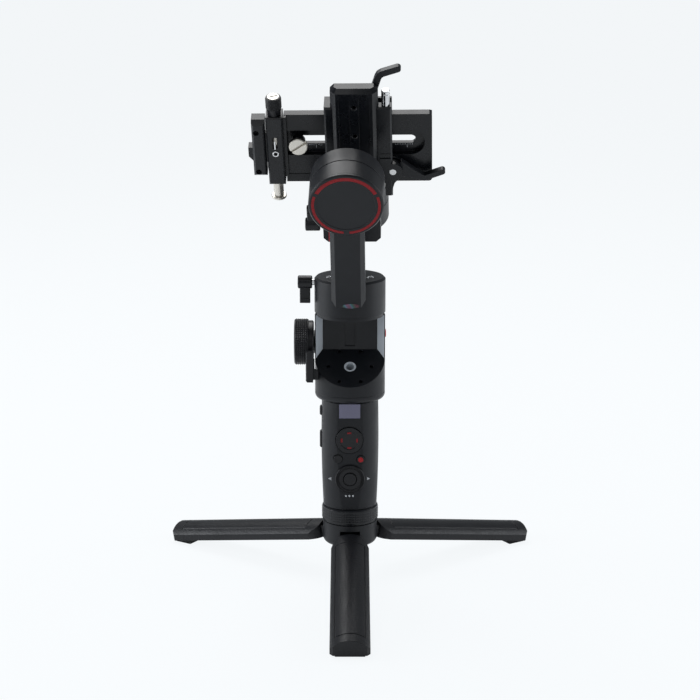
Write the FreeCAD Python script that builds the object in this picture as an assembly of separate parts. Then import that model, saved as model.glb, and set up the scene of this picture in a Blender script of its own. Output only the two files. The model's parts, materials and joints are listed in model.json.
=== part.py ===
# Three-axis camera gimbal on a mini tripod, one STEP file for each piece.
# Millimetres, +Z up, -Y towards the person who holds it. The origin lies on the
# ground under the handle's axis. The head is drawn in two more frames: the pan
# frame is turned about Z, and the roll frame is turned and inclined about the
# pivot, so that its Y axis is the roll axis and its Z axis is the tilt axis.
import FreeCAD
import Part
import math
import os

# ------------------------------------------------------------------ whole
ROLL_CLIMB = 27.0            # climb of the roll axis above level, degrees
PIVOT_HEIGHT = 356.0         # height where the pan and roll axes cross
PAN_REST_YAW = -1.9          # turn of the head at rest, degrees
RUNNING = 0.05               # radial clearance of a pin that turns or slides
SLIDE = 0.15                 # clearance on each side of a sliding bar
CLEAR = 0.3                  # gap between pieces that pass each other
FACE_GAP = 0.1               # gap between flat faces that turn on each other
REACH = 80.0                 # length of a cutting tool that passes right through
THREAD_STUD = 3.1            # radius of a 1/4 inch camera stud
THREAD_BORE = 3.175          # radius of a 1/4 inch camera thread

# ------------------------------------------------------------------ tripod
HUB_RADIUS = 21.1
HUB_BOTTOM = 30.0
HUB_TOP = 48.0
HUB_ROUND = 4.0              # round of the hub's lower edge
HINGE_HEIGHT = 36.5
HINGE_OFFSET = 15.5          # from the handle's axis to a hinge pin
HINGE_PIN = 2.0              # radius
HINGE_PIN_HALF = 10.4        # half length
REAR_LEG_ANGLE = 33.0        # of the two rear legs behind the X axis
KNUCKLE = 5.0                # radius of a leg's knuckle
KNUCKLE_WIDTH = 15.0
LEG_LENGTH = 154.5           # from the hinge pin to the tip
LEG_WIDTH = 29.4
LEG_CROWN = 8.0              # rise of the rounded back over the hinge line
LEG_WALL = 2.0
LEG_CORNER = 2.4             # bevel of the tip in plan
LEG_SHOULDER = 6.8           # from the pin to where the leg widens
LEG_FULL = 15.0              # from the pin to full width
RIB_PITCH = 28.0
PANEL_INSET = 3.3            # edge to panel groove on the leg's back
PANEL_GROOVE = 0.8
PANEL_DEPTH = 0.5
PAD_THICKNESS = 1.2          # rubber under the tip
PAD_LENGTH = 15.0
PAD_WIDTH = 22.0
RING_RADIUS = 22.0
RING_SPIGOT = 8.0            # radius
RING_SPIGOT_LENGTH = 6.0
RING_STUD_LENGTH = 7.0
RING_GROOVES = 72
RING_GROOVE = 0.5            # radius of a grip groove

# ------------------------------------------------------------------ handle
HANDLE_BOTTOM = 61.0
HANDLE_TOP = 146.5
HANDLE_FOOT = 20.8           # half widths at the foot, the swell and the top
HANDLE_SWELL = 22.2
HANDLE_HEAD = 21.8
HANDLE_SWELL_HEIGHT = 112.0
HANDLE_DEPTH_SHARE = 0.945   # depth of the grip over its width
HANDLE_FLAT = -19.0          # Y of the flat front
HANDLE_WALL = 2.2
BASE_FLANGE = 1.5
BASE_PLUG = 8.0              # flange face to the top of the plug
PRESS_TRAVEL = 0.8           # of every push button
WINDOW_WIDTH = 16.3
WINDOW_HEIGHT = 11.3
WINDOW_CENTRE = -0.25        # X
ROCKER_CENTRE = (-0.5, 117.4)   # X and Z of the four-way pad
ROCKER_RADIUS = 10.4
ROCKER_CROSS = 8.0           # width of the cross the pad rocks on
LEFT_BUTTON = (-9.3, 102.4)
LEFT_BUTTON_RADIUS = 3.3
RECORD_BUTTON = (8.3, 102.0)
RECORD_BUTTON_RADIUS = 3.1
DIAL_HEIGHT = 86.4
DIAL_RADIUS = 11.3
DIAL_HUB = 7.5
DIAL_BORE = 5.2
SIDE_KEY_DEPTH = 6.0
SIDE_KEY_OUT = -23.5         # X of the keys' outer faces
UPPER_KEY = (133.0, 140.0)
LOWER_KEY = (107.0, 120.0)
BOARD_WIDTH = 28.0
BOARD_THICKNESS = 1.4
BOARD_FRONT = -11.0
CELL_RADIUS = 8.25
CELL_LENGTH = 65.0
CELL_OFFSET = 8.4

# ------------------------------------------------------------------ body
COLLAR_HEIGHT = 5.8
COLLAR_ROUND = 4.6
BODY_RADIUS = 27.0           # round back of the body
BODY_FRONT = 22.5            # half depth of its oval front
BODY_TOP = 212.5
BODY_WALL = 2.6
BODY_FLOOR = 3.0
TOP_PLATE = 2.5
TOP_PLATE_RADIUS = 25.5
WIRE_BORE = 8.0
FACE_SLOPE = 39.0            # of the accessory face, degrees
FACE_LOW = (-22.5, 160.5)    # Y and Z of its lower edge
FACE_WALL = 3.5
RECESS_BACK = 5.9            # Y of the recess's upright wall
RECESS_HALF = 21.0
RECESS_WING = 26.5           # half width where the side wings end
WING_FRONT = -1.4
INSERT_HEIGHT = FACE_LOW[1] + 12.5
INSERT_FLANGE = 4.65
INSERT_LENGTH = 8.0
INSERT_SLEEVE = 4.0
HOLE_CIRCLE = 16.5           # radius of the circle of six holes
HOLE_RADIUS = 1.6
HOLE_DEPTH = 3.0
GUIDE_WIDTH = 7.9            # of the sunk guide in the recess's wall
GUIDE_SINK = 1.2
GUIDE_INSET = 2.5            # guide to the recess's foot and top
RECESS_PLAN = ((RECESS_HALF, RECESS_BACK), (RECESS_WING, WING_FRONT), (30.0, -6.0), (30.0, -40.0))
WHEEL_AXIS = (9.5, 188.7)    # Y and Z
WHEEL_AXLE = 4.0
WHEEL_BOSS = 9.0
WHEEL_RADIUS = 18.0
WHEEL_FLANGE = 16.5
WHEEL_OUT = -43.0            # X of the outer face
WHEEL_WIDTH = 11.0
WHEEL_FLANGE_WIDTH = 4.0
ZOOM_AXIS = (-30.9, 175.1)   # X and Z
ZOOM_AXLE = 1.2
ZOOM_EAR = 1.8               # thickness of the ear that carries the rocker
ZOOM_SKIN = 1.5              # rocker material in front of its axle
ZOOM_HEIGHT = 23.8
ZOOM_DEPTH = (-18.0, -10.0)
ZOOM_PLATE = (-33.8, -28.2)
SLIDER_DEPTH = (9.0, 15.0)
SLIDER_FOOT = 192.0
SLIDER_HEIGHT = 6.0
SLIDER_OUT = 27.9
SLIDER_TRAVEL = 4.0

# ------------------------------------------------------------------ motors
MOTOR_RADIUS = 27.2
MOTOR_FIXED = 18.6           # seam to the outer face
MOTOR_TURNING = 15.4         # seam to the rotor's far face
SEAM = 0.35                  # half of the gap at the seam
CUP_WALL = 3.0
COVER = 3.0
WEB = 2.0
STATOR = 20.3
BEARING_SEAT = 9.0
SHAFT = 5.0
BELL = 2.0
BELL_GAP = 0.7               # stator to magnet bell
BEARING_LOW = (3.0, 7.0)     # heights of the lower bearing over the seam
BEARING_HIGH = (4.5, 0.5)    # upper bearing, below the cup's web
STATOR_FOOT = 2.5            # seam to the windings
COVER_BEVEL = 1.0
COVER_SINK = 0.4             # depth of the cover's sunk centre
COVER_RIM = 1.1              # accent ring to the sunk centre
ACCENT_OUTER = 25.0
ACCENT_WIDE = 2.8
ACCENT_NARROW = 2.1
ACCENT_DEPTH = 1.2
ACCENT_ARCS = ((27.0, 126.0, ACCENT_WIDE), (160.0, 105.0, ACCENT_NARROW),
               (275.0, 105.0, ACCENT_NARROW))   # start and sweep in degrees, width

# ------------------------------------------------------------------ pan
PAN_SEAM = 215.5
PAN_TOP = 242.6
PAN_RIM = 1.6                # bevel of the drum's rim
PAN_CAVITY = 12.0
PAN_STATOR = 9.0
PAN_BAR_BOTTOM = 229.5
PAN_BAR_HEIGHT = 10.1
PAN_BAR_HALF = 11.0
PAN_BAR_REAR = 36.0
PAN_SCREW = (15.7, -3.0)
PAN_SCREW_RADIUS = 2.6
PAN_SCREW_DEPTH = 2.1
PAN_LEVER_HEIGHT = 237.8
LEVER_SCREW = 2.0            # both clamp levers
LEVER_HEAD = 5.0
LEVER_HEAD_LENGTH = 11.0
LEVER_WING = 8.0
LEVER_WING_EDGE = 9.5        # from the seat to the wing's outer edge
LEVER_REACH = 16.0
ARM_HALF = 12.7              # pan arm's upright
ARM_FLAT = 9.4
ARM_THICKNESS = 12.0
ARM_BEVEL = 3.3
ARM_FRONT_GAP = 0.6          # roll seam to the arm's back
ARM_FOOT = 226.0
ARM_STANDOFF = 1.3           # arm to pan rotor
ARM_OFFSET = 30.66           # pan axis to the arm's back, level with the drum's top
ARM_CORNER = (3.3, 5.5)      # bevel of its lower corners

# ------------------------------------------------------------------ roll (roll frame)
ROLL_REST_TURN = -0.75       # turn of the roll head at rest, degrees
ROLL_BLOCK_X = (-19.4, 23.3)
ROLL_BLOCK_WALL = 2.9        # behind the bar
ROLL_BLOCK_Z = (-59.0, -36.0)
LEVER_SWEEP = 89.4           # clear radius about the tilt axis for the side lever
LEVER_SWEEP_Z = (-27.2, -19.8)
ROLL_NECK_X = (-11.0, 17.0)
ROLL_NECK = 3.6
ROLL_NECK_TOP = 18.0
ROLL_BAR_X = (-7.0, 9.0)
ROLL_BAR = 8.0               # thickness
ROLL_BAR_TOP = -37.0
ROLL_BAR_END = -70.0
ROLL_LEVER_HEIGHT = -48.2
ELBOW_REACH = 18.7           # bar's back to the foot of the elbow's slope
ELBOW_HEEL = 12.0            # from there to the elbow's lower corner
ELBOW_TOE = 4.7              # bar's front to the elbow's lower bend

# ------------------------------------------------------------------ tilt (roll frame)
TILT_AXIS = 28.0             # Y
TILT_SEAM = -84.4            # Z
TILT_BAR_HALF = 10.0
TILT_BAR = 8.0
TILT_BAR_BOTTOM = -81.5
TILT_BAR_REAR = 48.0
TILT_KNOB_OFFSET = 12.0
TILT_KNOB = 6.0
TILT_KNOB_HEIGHT = 8.0
RAIL_CENTRE = 4.8            # X
RAIL_HALF = 17.45
RAIL_BEVEL = 4.0
RAIL_FRONT = -29.8
RAIL_THICKNESS = 10.0
RAIL_BOTTOM = -50.0
RAIL_TOP = 53.3
RAIL_HOLES = (13.0, 38.2)
RAIL_CHANNEL = (7.3, 3.9, 0.8)   # offset, half width and depth of its two channels
RAIL_CHANNEL_TOP = 3.5       # rail's top to the channels

# ------------------------------------------------------------------ camera mount (roll frame)
CLAMP_X = (-17.5, 32.0)
CLAMP_Y = (-27.3, -9.0)
CLAMP_Z = (-43.3, 36.7)
CLAMP_REAR_BEVEL = 3.0       # of its top rear edge
CLAMP_PAD = 0.8              # rise of the pad right of the rail
CLAMP_PAD_TOP = -8.3
CLAMP_PAD_X = (22.6, 31.0)
CLAMP_LINE = -4.2            # height of the line over the pad
CLAMP_LEG = 5.4
PIVOT_BOSS = (32.2, -20.4)
PIVOT_BOSS_RADIUS = 7.3
RIVET = 1.5
RIVET_HEAD = 2.6
BOSS_WEB = ((31.0, -40.0), (32.2, -36.0), (33.4, -31.5), (37.5, -26.5), (31.0, -22.0))
TOP_PIVOT = (19.6, 32.0)
TOP_LEVER_PATH = ((19.0, 46.0), (22.2, 56.5), (23.4, 58.9), (25.6, 60.4), (36.6, 64.2))
TOP_LEVER_HALF = 2.5         # half width
TOP_LEVER_Y = (-19.2, -14.4)
TOP_LEVER_HUB = 4.0
SIDE_LEVER_Y = (-24.5, -19.5)
SIDE_LEVER_HUB = 6.0
SIDE_LEVER_PATH = ((37.0, -17.0), (55.5, -29.0), (69.0, -23.5))
SIDE_LEVER_HALF = 2.25
SIDE_LEVER_WEB = ((33.0, -25.5), (38.5, -13.2), (56.0, -28.0), (54.0, -30.6))
SIDE_SLOT_X = 28.4           # where the lever's slot begins
SIDE_SLOT_Z = (-36.5, -11.4)
SAFETY_PIN = (27.7, -23.0)
SAFETY_HEAD = 3.1
SAFETY_SEAT = CLAMP_Z[1] + FACE_GAP
SAFETY_LENGTH = 12.9
PLATE_X = (-48.0, 61.5)
PLATE_Y = (-16.0, -8.0)
PLATE_Z = (-36.4, 23.3)
PLATE_BEVEL = 2.0
SLOT_HEIGHT = -1.9            # Z of the plate's long slot
SLOT_HALF = 3.6
SLOT_X = (-39.4, 45.7)
RECESS_RADIUS = 11.0
RECESS_DEPTH = 4.5
STRIP_TOP = -30.4
STRIP_FRONT = -17.4          # Y of the lip at the plate's foot
STRIP_GROOVE = (1.0, 0.6)    # height and depth
SCREW_X = -38.0
SCREW_HEAD = 7.2
SCREW_HEAD_Y = (-22.1, -19.1)
SCREW_TIP = -2.0
SCREW_SHANK = 2.6            # radius between head and thread
SCREW_CUT = (1.6, 2.0)       # width and depth of the coin slot
SCREW_CUT_TURN = -36.0       # degrees
COLLAR_RADIUS = 5.0
LENS_X = (-61.0, -48.6)
LENS_Y = (-23.0, -10.0)
LENS_Z = (-35.4, 25.0)
GUIDE_PIN = 2.5
GUIDE_HEIGHTS = (-23.0, 16.5)
GUIDE_DEPTH = -13.0
GUIDE_LENGTH = 14.0
GUIDE_SEAT = 2.3             # depth of the pins' seats in the lens clamp
LENS_FLANGE_X = -46.2        # right edge of the lens clamp's flange
LENS_FLANGE_Y = -19.0
LENS_FLANGE_Z = (-30.2, 23.0)
LENS_ROD = 3.8
LENS_ROD_AXIS = (-54.8, -16.5)
LENS_KNOB = 6.1
LENS_KNOB_Z = (27.3, 40.3)
LENS_NECK = 5.0              # radius of the knob's neck
LENS_ROD_END = -50.9
LENS_ROD_FLANGE = 2.0        # thickness
LENS_LOCK_Z = -6.7           # height of the small lock screw
LENS_LOCK = 2.5              # its radius
LENS_WINDOW = (-2.0, 7.5)    # heights of the window in front of the rod
TONGUE_HALF = 2.0
TONGUE_Y = -18.0
BLOCK_X = (-72.0, -62.0)
BLOCK_Y = (-23.0, -11.7)
BLOCK_Z = (-27.3, 21.9)
BLOCK_TOP_BEVEL = 3.4
BLOCK_NUB = 3.3              # reach of the nub on its left
BLOCK_NUB_Z = (-10.4, -2.5)
BLOCK_HOLES = ((-68.6, 11.8), (-68.3, -23.3))


# ================================================================== tools
def vec(x=0.0, y=0.0, z=0.0):
    """A point or a direction."""
    return FreeCAD.Vector(x, y, z)


AXES = {"X": vec(1), "Y": vec(0, 1), "Z": vec(0, 0, 1)}


def frame(position, axis="Z", degrees=0.0):
    """A placement: a turn about one axis, then a move."""
    return FreeCAD.Placement(position, FreeCAD.Rotation(AXES[axis], degrees))


CLIMB = math.radians(ROLL_CLIMB)
ROLL_SEAM = ARM_FRONT_GAP - (ARM_OFFSET + (PIVOT_HEIGHT - PAN_TOP) * math.tan(CLIMB)) * math.cos(CLIMB)
YAW_FRAME = frame(vec(), "Z", PAN_REST_YAW)
INCLINE = frame(vec(0, 0, PIVOT_HEIGHT), "X", ROLL_CLIMB)
ARM_FRAME = YAW_FRAME.multiply(INCLINE)
ROLL_FRAME = ARM_FRAME.multiply(frame(vec(), "Y", ROLL_REST_TURN))
ROLL_MOTOR = frame(vec(0, ROLL_SEAM, 0), "X", 90)
TILT_MOTOR = frame(vec(0, TILT_AXIS, TILT_SEAM), "X", 180)


def placed(shape, placement):
    """A copy of the shape, moved from its own frame."""
    moved = shape.copy()
    moved.Placement = placement.multiply(shape.Placement)
    return moved


def block(xs, ys, zs):
    """Box between pairs of limits."""
    corner = vec(xs[0], ys[0], zs[0])
    return Part.makeBox(xs[1] - xs[0], ys[1] - ys[0], zs[1] - zs[0], corner)


def rod(radius, start, end):
    """Cylinder between the two ends of its axis."""
    along = end.sub(start)
    return Part.makeCylinder(radius, along.Length, start, along)


def post(radius, low, high, x=0.0, y=0.0):
    """Cylinder along Z."""
    return rod(radius, vec(x, y, low), vec(x, y, high))


def ring(outer, inner, low, high, x=0.0, y=0.0):
    """Tube along Z."""
    return post(outer, low, high, x, y).cut(post(inner, low, high, x, y))


def across(radius, xs, y, z):
    """Cylinder along X between two limits."""
    return rod(radius, vec(xs[0], y, z), vec(xs[1], y, z))


def inward(radius, centre, ys):
    """Cylinder along Y between two limits, centre given in X and Z."""
    return rod(radius, vec(centre[0], ys[0], centre[1]), vec(centre[0], ys[1], centre[1]))


def prism(points, axis, low, high):
    """Polygon swept along one axis; its points give the two other axes in XYZ order."""
    lay = {"X": lambda a, b: vec(low, a, b),
           "Y": lambda a, b: vec(a, low, b),
           "Z": lambda a, b: vec(a, b, low)}[axis]
    corners = [lay(a, b) for a, b in points]
    wire = Part.makePolygon(corners + [corners[0]])
    return Part.Face(wire).extrude(AXES[axis] * (high - low))


def joined(*shapes):
    """One solid from pieces that touch or overlap."""
    return shapes[0].fuse(list(shapes[1:])).removeSplitter()


def less(shape, *tools):
    """The shape without the tools."""
    return shape.cut(list(tools)).removeSplitter()


def slot(half, ends, height, ys):
    """Round-ended slot along X, cut along Y."""
    middle = block(ends, ys, (height - half, height + half))
    return joined(middle, inward(half, (ends[0], height), ys), inward(half, (ends[1], height), ys))


def spokes(shape, angles):
    """Copies of a shape drawn along +X, turned about Z."""
    return [placed(shape, frame(vec(), "Z", angle)) for angle in angles]


def limb(points, half, ys):
    """Bar of constant width that follows points in X and Z, with round joints."""
    pieces = []
    for (xa, za), (xb, zb) in zip(points, points[1:]):
        length = math.hypot(xb - xa, zb - za)
        angle = math.degrees(math.atan2(zb - za, xb - xa))
        bar = block((0, length), ys, (-half, half))
        pieces.append(placed(bar, frame(vec(xa, 0, za), "Y", -angle)))
    pieces += [inward(half, point, ys) for point in points[1:]]
    return joined(*pieces)


def end_edges(shape, axis, at):
    """Edges that lie wholly in one plane square to an axis."""
    index = "XYZ".index(axis)
    flat = []
    for edge in shape.Edges:
        low = (edge.BoundBox.XMin, edge.BoundBox.YMin, edge.BoundBox.ZMin)[index]
        high = (edge.BoundBox.XMax, edge.BoundBox.YMax, edge.BoundBox.ZMax)[index]
        if abs(low - at) < 0.01 and abs(high - at) < 0.01:
            flat.append(edge)
    return flat


def along_edges(shape, axis):
    """Straight edges parallel to an axis."""
    chosen = []
    for edge in shape.Edges:
        if isinstance(edge.Curve, Part.Line):
            way = edge.Vertexes[-1].Point.sub(edge.Vertexes[0].Point).normalize()
            if abs(abs(way.dot(AXES[axis])) - 1) < 1e-6:
                chosen.append(edge)
    return chosen


# ================================================================== tripod
LEG_ANGLES = {"leg_front": -90.0, "leg_right": REAR_LEG_ANGLE, "leg_left": 180.0 - REAR_LEG_ANGLE}
SOLE = KNUCKLE + PAD_THICKNESS
LEG_SLOPE = math.degrees(math.asin(HINGE_HEIGHT / math.hypot(LEG_LENGTH, SOLE))
                         - math.atan(SOLE / LEG_LENGTH))
LEG_FRAME = frame(vec(HINGE_OFFSET, 0, HINGE_HEIGHT), "Y", LEG_SLOPE)
RING_BOTTOM = HUB_TOP + FACE_GAP
RING_TOP = HANDLE_BOTTOM - FACE_GAP


def hinge_pin():
    """Hinge pin of a leg along +X."""
    return rod(HINGE_PIN, vec(HINGE_OFFSET, -HINGE_PIN_HALF, HINGE_HEIGHT),
               vec(HINGE_OFFSET, HINGE_PIN_HALF, HINGE_HEIGHT))


def tripod_hub():
    """Round hub with a bore for the ring's spigot and three hinge slots."""
    hub = post(HUB_RADIUS, HUB_BOTTOM, HUB_TOP)
    hub = hub.makeFillet(HUB_ROUND, end_edges(hub, "Z", HUB_BOTTOM))
    slot_half = KNUCKLE_WIDTH / 2 + 0.2
    slot_inner = HINGE_OFFSET - KNUCKLE - 0.5
    hinge_slot = block((slot_inner, REACH), (-slot_half, slot_half),
                       (HUB_BOTTOM - 1, HINGE_HEIGHT + KNUCKLE + 2))
    spigot = post(RING_SPIGOT + RUNNING, HUB_TOP - RING_SPIGOT_LENGTH - 1, HUB_TOP)
    tools = spokes(hinge_slot, LEG_ANGLES.values())
    tools += spokes(hinge_pin(), LEG_ANGLES.values())
    return less(hub, spigot, *tools)


def leg_pins():
    """Three hinge pins that end inside the hub."""
    return Part.makeCompound(spokes(hinge_pin(), LEG_ANGLES.values()))


def leg_bar(inset, start, end):
    """Length of the leg's section: flat sole, upright sides, crowned back."""
    half = LEG_WIDTH / 2 - inset
    corners = [vec(start, -half, -inset), vec(start, -half, -KNUCKLE),
               vec(start, half, -KNUCKLE), vec(start, half, -inset)]
    sides = Part.makePolygon(corners).Edges
    crown = Part.Arc(corners[3], vec(start, 0, LEG_CROWN - inset), corners[0]).toShape()
    return Part.Face(Part.Wire(sides + [crown])).extrude(vec(end - start))


def leg():
    """One leg in its own frame: hinge pin at the origin, tip along +X."""
    half = LEG_WIDTH / 2
    neck_half = KNUCKLE_WIDTH / 2
    flare = (LEG_FULL - LEG_SHOULDER) / 3
    plan = [(LEG_SHOULDER, neck_half + 1.5), (LEG_SHOULDER + flare, half - 2.5), (LEG_FULL, half),
            (LEG_LENGTH - LEG_CORNER, half), (LEG_LENGTH, half - LEG_CORNER)]
    plan = plan + [(x, -y) for x, y in reversed(plan)]
    outer = leg_bar(0, LEG_SHOULDER, LEG_LENGTH)
    shell = outer.common(prism(plan, "Z", -KNUCKLE - 1, LEG_CROWN + 1))
    cavity = leg_bar(LEG_WALL, LEG_FULL + 6, LEG_LENGTH - PAD_LENGTH - 5)
    ribs = [block((x, x + LEG_WALL), (-half, half), (-KNUCKLE + 1, LEG_CROWN))
            for x in frange(LEG_FULL + RIB_PITCH, LEG_LENGTH - PAD_LENGTH, RIB_PITCH)]
    skin = outer.cut(placed(outer, frame(vec(0, 0, -PANEL_DEPTH))))
    edge = PANEL_INSET + PANEL_GROOVE
    panel = block((LEG_FULL + edge, LEG_LENGTH - 10), (-half + edge, half - edge), (0, LEG_CROWN))
    border = block((LEG_FULL + PANEL_INSET, LEG_LENGTH - 10 + PANEL_GROOVE),
                   (-half + PANEL_INSET, half - PANEL_INSET), (0, LEG_CROWN)).cut(panel)
    neck = block((0, LEG_FULL), (-neck_half, neck_half), (-KNUCKLE, KNUCKLE - 1))
    knuckle = rod(KNUCKLE, vec(0, -neck_half, 0), vec(0, neck_half, 0))
    bore = rod(HINGE_PIN + RUNNING, vec(0, -neck_half, 0), vec(0, neck_half, 0))
    body = less(joined(shell, neck, knuckle), cavity.cut(ribs), skin.common(border))
    return less(body, bore)


def frange(start, stop, step):
    """Evenly spaced values from start to before stop."""
    count = max(0, math.ceil((stop - start) / step - 1e-9))
    return [start + step * index for index in range(count)]


def foot_pad():
    """Rubber wedge between the sole of the tip and the ground, leg along +X."""
    ends = []
    for x in (LEG_LENGTH - 1 - PAD_LENGTH, LEG_LENGTH - 1):
        ends.append(LEG_FRAME.multVec(vec(x, 0, -KNUCKLE)))
    outline = [(ends[0].x, 0), (ends[1].x, 0), (ends[1].x, ends[1].z), (ends[0].x, ends[0].z)]
    return prism(outline, "Y", -PAD_WIDTH / 2, PAD_WIDTH / 2)


def tripod_lock_ring():
    """Grooved ring with a spigot into the hub and a camera stud into the handle."""
    band = post(RING_RADIUS, RING_BOTTOM, RING_TOP)
    edges = end_edges(band, "Z", RING_BOTTOM) + end_edges(band, "Z", RING_TOP)
    band = band.makeChamfer(1.0, edges)
    groove = post(RING_GROOVE, RING_BOTTOM + 2, RING_TOP - 2, RING_RADIUS + RING_GROOVE * 0.4)
    step = 360.0 / RING_GROOVES
    band = less(band, *spokes(groove, [step * index for index in range(RING_GROOVES)]))
    spigot = post(RING_SPIGOT, HUB_TOP - RING_SPIGOT_LENGTH, RING_BOTTOM + 1)
    stud = post(THREAD_STUD, RING_TOP - 1, HANDLE_BOTTOM + RING_STUD_LENGTH)
    return joined(band, spigot, stud)


# ================================================================== handle
def grip(inset, low, high):
    """The grip's outside moved in by inset, between two heights."""
    sections = []
    for height, half in ((HANDLE_BOTTOM, HANDLE_FOOT), (HANDLE_SWELL_HEIGHT, HANDLE_SWELL),
                         (HANDLE_TOP, HANDLE_HEAD)):
        oval = Part.Ellipse(vec(0, 0, height), half - inset, half * HANDLE_DEPTH_SHARE - inset)
        sections.append(Part.Wire(oval.toShape()))
    loft = Part.makeLoft(sections, True)
    return loft.common(block((-REACH, REACH), (HANDLE_FLAT + inset, REACH), (low, high)))


SHELL_BOTTOM = HANDLE_BOTTOM + BASE_FLANGE
SHELL_IN = HANDLE_FLAT + HANDLE_WALL
BUTTON_END = BOARD_FRONT - PRESS_TRAVEL - 1.2
FLANGE_LIP = 0.6             # how far a button's flange reaches past its stem
KEYS = {"side_key_upper": UPPER_KEY, "side_key_lower": LOWER_KEY}


def handle_base():
    """End cap: flange, plug inside the shells and the tripod thread."""
    flange = grip(0, HANDLE_BOTTOM, SHELL_BOTTOM)
    plug = grip(HANDLE_WALL, SHELL_BOTTOM, HANDLE_BOTTOM + BASE_PLUG)
    return less(joined(flange, plug), post(THREAD_BORE, HANDLE_BOTTOM, HANDLE_BOTTOM + BASE_PLUG))


def window_block(grow, ys):
    """Display window, grown on its sides and foot."""
    half = WINDOW_WIDTH / 2 + grow
    top = HANDLE_TOP - 0.2
    return block((WINDOW_CENTRE - half, WINDOW_CENTRE + half), ys, (top - WINDOW_HEIGHT - grow, top))


def handle_shell():
    """Both shells as one tube, with the openings of every control."""
    shell = grip(0, SHELL_BOTTOM, HANDLE_TOP).cut(grip(HANDLE_WALL, SHELL_BOTTOM, HANDLE_TOP))
    through = (HANDLE_FLAT - 1, SHELL_IN + 1)
    openings = [window_block(0.0, through),
                inward(ROCKER_RADIUS + 0.4, ROCKER_CENTRE, through),
                inward(DIAL_HUB + RUNNING, (0, DIAL_HEIGHT), through)]
    for centre, radius in ((LEFT_BUTTON, LEFT_BUTTON_RADIUS), (RECORD_BUTTON, RECORD_BUTTON_RADIUS)):
        openings.append(inward(radius + CLEAR, centre, (through[0], BUTTON_END)))
        openings.append(inward(radius + FLANGE_LIP + CLEAR, centre, (SHELL_IN + 0.9, BUTTON_END)))
    half = SIDE_KEY_DEPTH / 2 + 0.2
    for low, high in KEYS.values():
        openings.append(block((SIDE_KEY_OUT - 2, -10), (-half, half), (low - 0.2, high + 0.2)))
    return less(shell, *openings)


def handle_shell_front():
    """Front half of the grip."""
    return handle_shell().common(block((-REACH, REACH), (-REACH, 0), (0, HANDLE_TOP)))


def handle_shell_rear():
    """Rear half of the grip."""
    return handle_shell().common(block((-REACH, REACH), (0, REACH), (0, HANDLE_TOP)))


def display_window():
    """Smoked window over the display, flush with the front."""
    return window_block(0.0, (HANDLE_FLAT - 0.2, SHELL_IN))


def control_board():
    """Circuit board behind the controls, with the post of the four-way pad."""
    half = BOARD_WIDTH / 2
    board = block((-half, half), (BOARD_FRONT, BOARD_FRONT + BOARD_THICKNESS),
                  (HANDLE_BOTTOM + BASE_PLUG + 3, HANDLE_TOP - 1.5))
    return joined(board, inward(2.0, ROCKER_CENTRE, (BOARD_FRONT - 1.7, BOARD_FRONT)))


def battery_cells():
    """Two cells side by side that stand on the end cap."""
    low = HANDLE_BOTTOM + BASE_PLUG
    cells = [post(CELL_RADIUS, low, low + CELL_LENGTH, x, 4.0) for x in (-CELL_OFFSET, CELL_OFFSET)]
    return Part.makeCompound(cells)


def pad_cross():
    """Cross that the four-way pad rocks on."""
    x, z = ROCKER_CENTRE
    half = ROCKER_CROSS / 2
    front = BOARD_FRONT - 4.4
    return block((x - half, x + half), (front, front + 2.4), (z - half, z + half))


def direction_pad():
    """Round four-way pad with a raised rim and a post to its cross."""
    disc = inward(ROCKER_RADIUS, ROCKER_CENTRE, (HANDLE_FLAT - 1.0, HANDLE_FLAT + 1.8))
    dish = inward(ROCKER_RADIUS - 3.4, ROCKER_CENTRE, (HANDLE_FLAT - 1.0, HANDLE_FLAT - 0.4))
    stem = inward(3.0, ROCKER_CENTRE, (HANDLE_FLAT + 1.0, BOARD_FRONT - 4.4 - CLEAR))
    return joined(disc.cut(dish), stem)


def push_button(centre, radius):
    """Round button with a stem and a flange behind the shell."""
    stem = inward(radius, centre, (HANDLE_FLAT - 0.8, BUTTON_END))
    flange = inward(radius + FLANGE_LIP, centre, (SHELL_IN + 1.2, SHELL_IN + 2.0))
    return joined(stem, flange)


def control_dial():
    """Ring dial whose hub turns in the front shell."""
    disc = inward(DIAL_RADIUS, (0, DIAL_HEIGHT), (HANDLE_FLAT - 1.8, HANDLE_FLAT - CLEAR))
    hub = inward(DIAL_HUB, (0, DIAL_HEIGHT), (HANDLE_FLAT - 1.0, BUTTON_END))
    return less(joined(disc, hub), inward(DIAL_BORE, (0, DIAL_HEIGHT), (HANDLE_FLAT - 2, BUTTON_END)))


def dial_button():
    """Button in the middle of the dial."""
    return inward(DIAL_BORE - CLEAR, (0, DIAL_HEIGHT), (HANDLE_FLAT - 2.0, BUTTON_END))


def side_key(low, high):
    """Key in the left side of the grip, with a flange behind both shells."""
    half = SIDE_KEY_DEPTH / 2
    inside = -HANDLE_FOOT + HANDLE_WALL + CLEAR
    cap = block((SIDE_KEY_OUT, inside), (-half, half), (low, high))
    cap = cap.makeChamfer(0.8, end_edges(cap, "X", SIDE_KEY_OUT))
    flange = block((inside - 0.8, inside), (-half - FLANGE_LIP, half + FLANGE_LIP),
                   (low - FLANGE_LIP, high + FLANGE_LIP))
    return joined(cap, flange)


# ================================================================== body
BODY_BOTTOM = HANDLE_TOP + COLLAR_HEIGHT
FACE_NORMAL = vec(0, -math.sin(math.radians(FACE_SLOPE)), math.cos(math.radians(FACE_SLOPE)))
WHEEL_IN = WHEEL_OUT + WHEEL_WIDTH + WHEEL_FLANGE_WIDTH


def face_height(y):
    """Height of the sloping accessory face at one depth."""
    return FACE_LOW[1] + (y - FACE_LOW[0]) * math.tan(math.radians(FACE_SLOPE))


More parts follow.
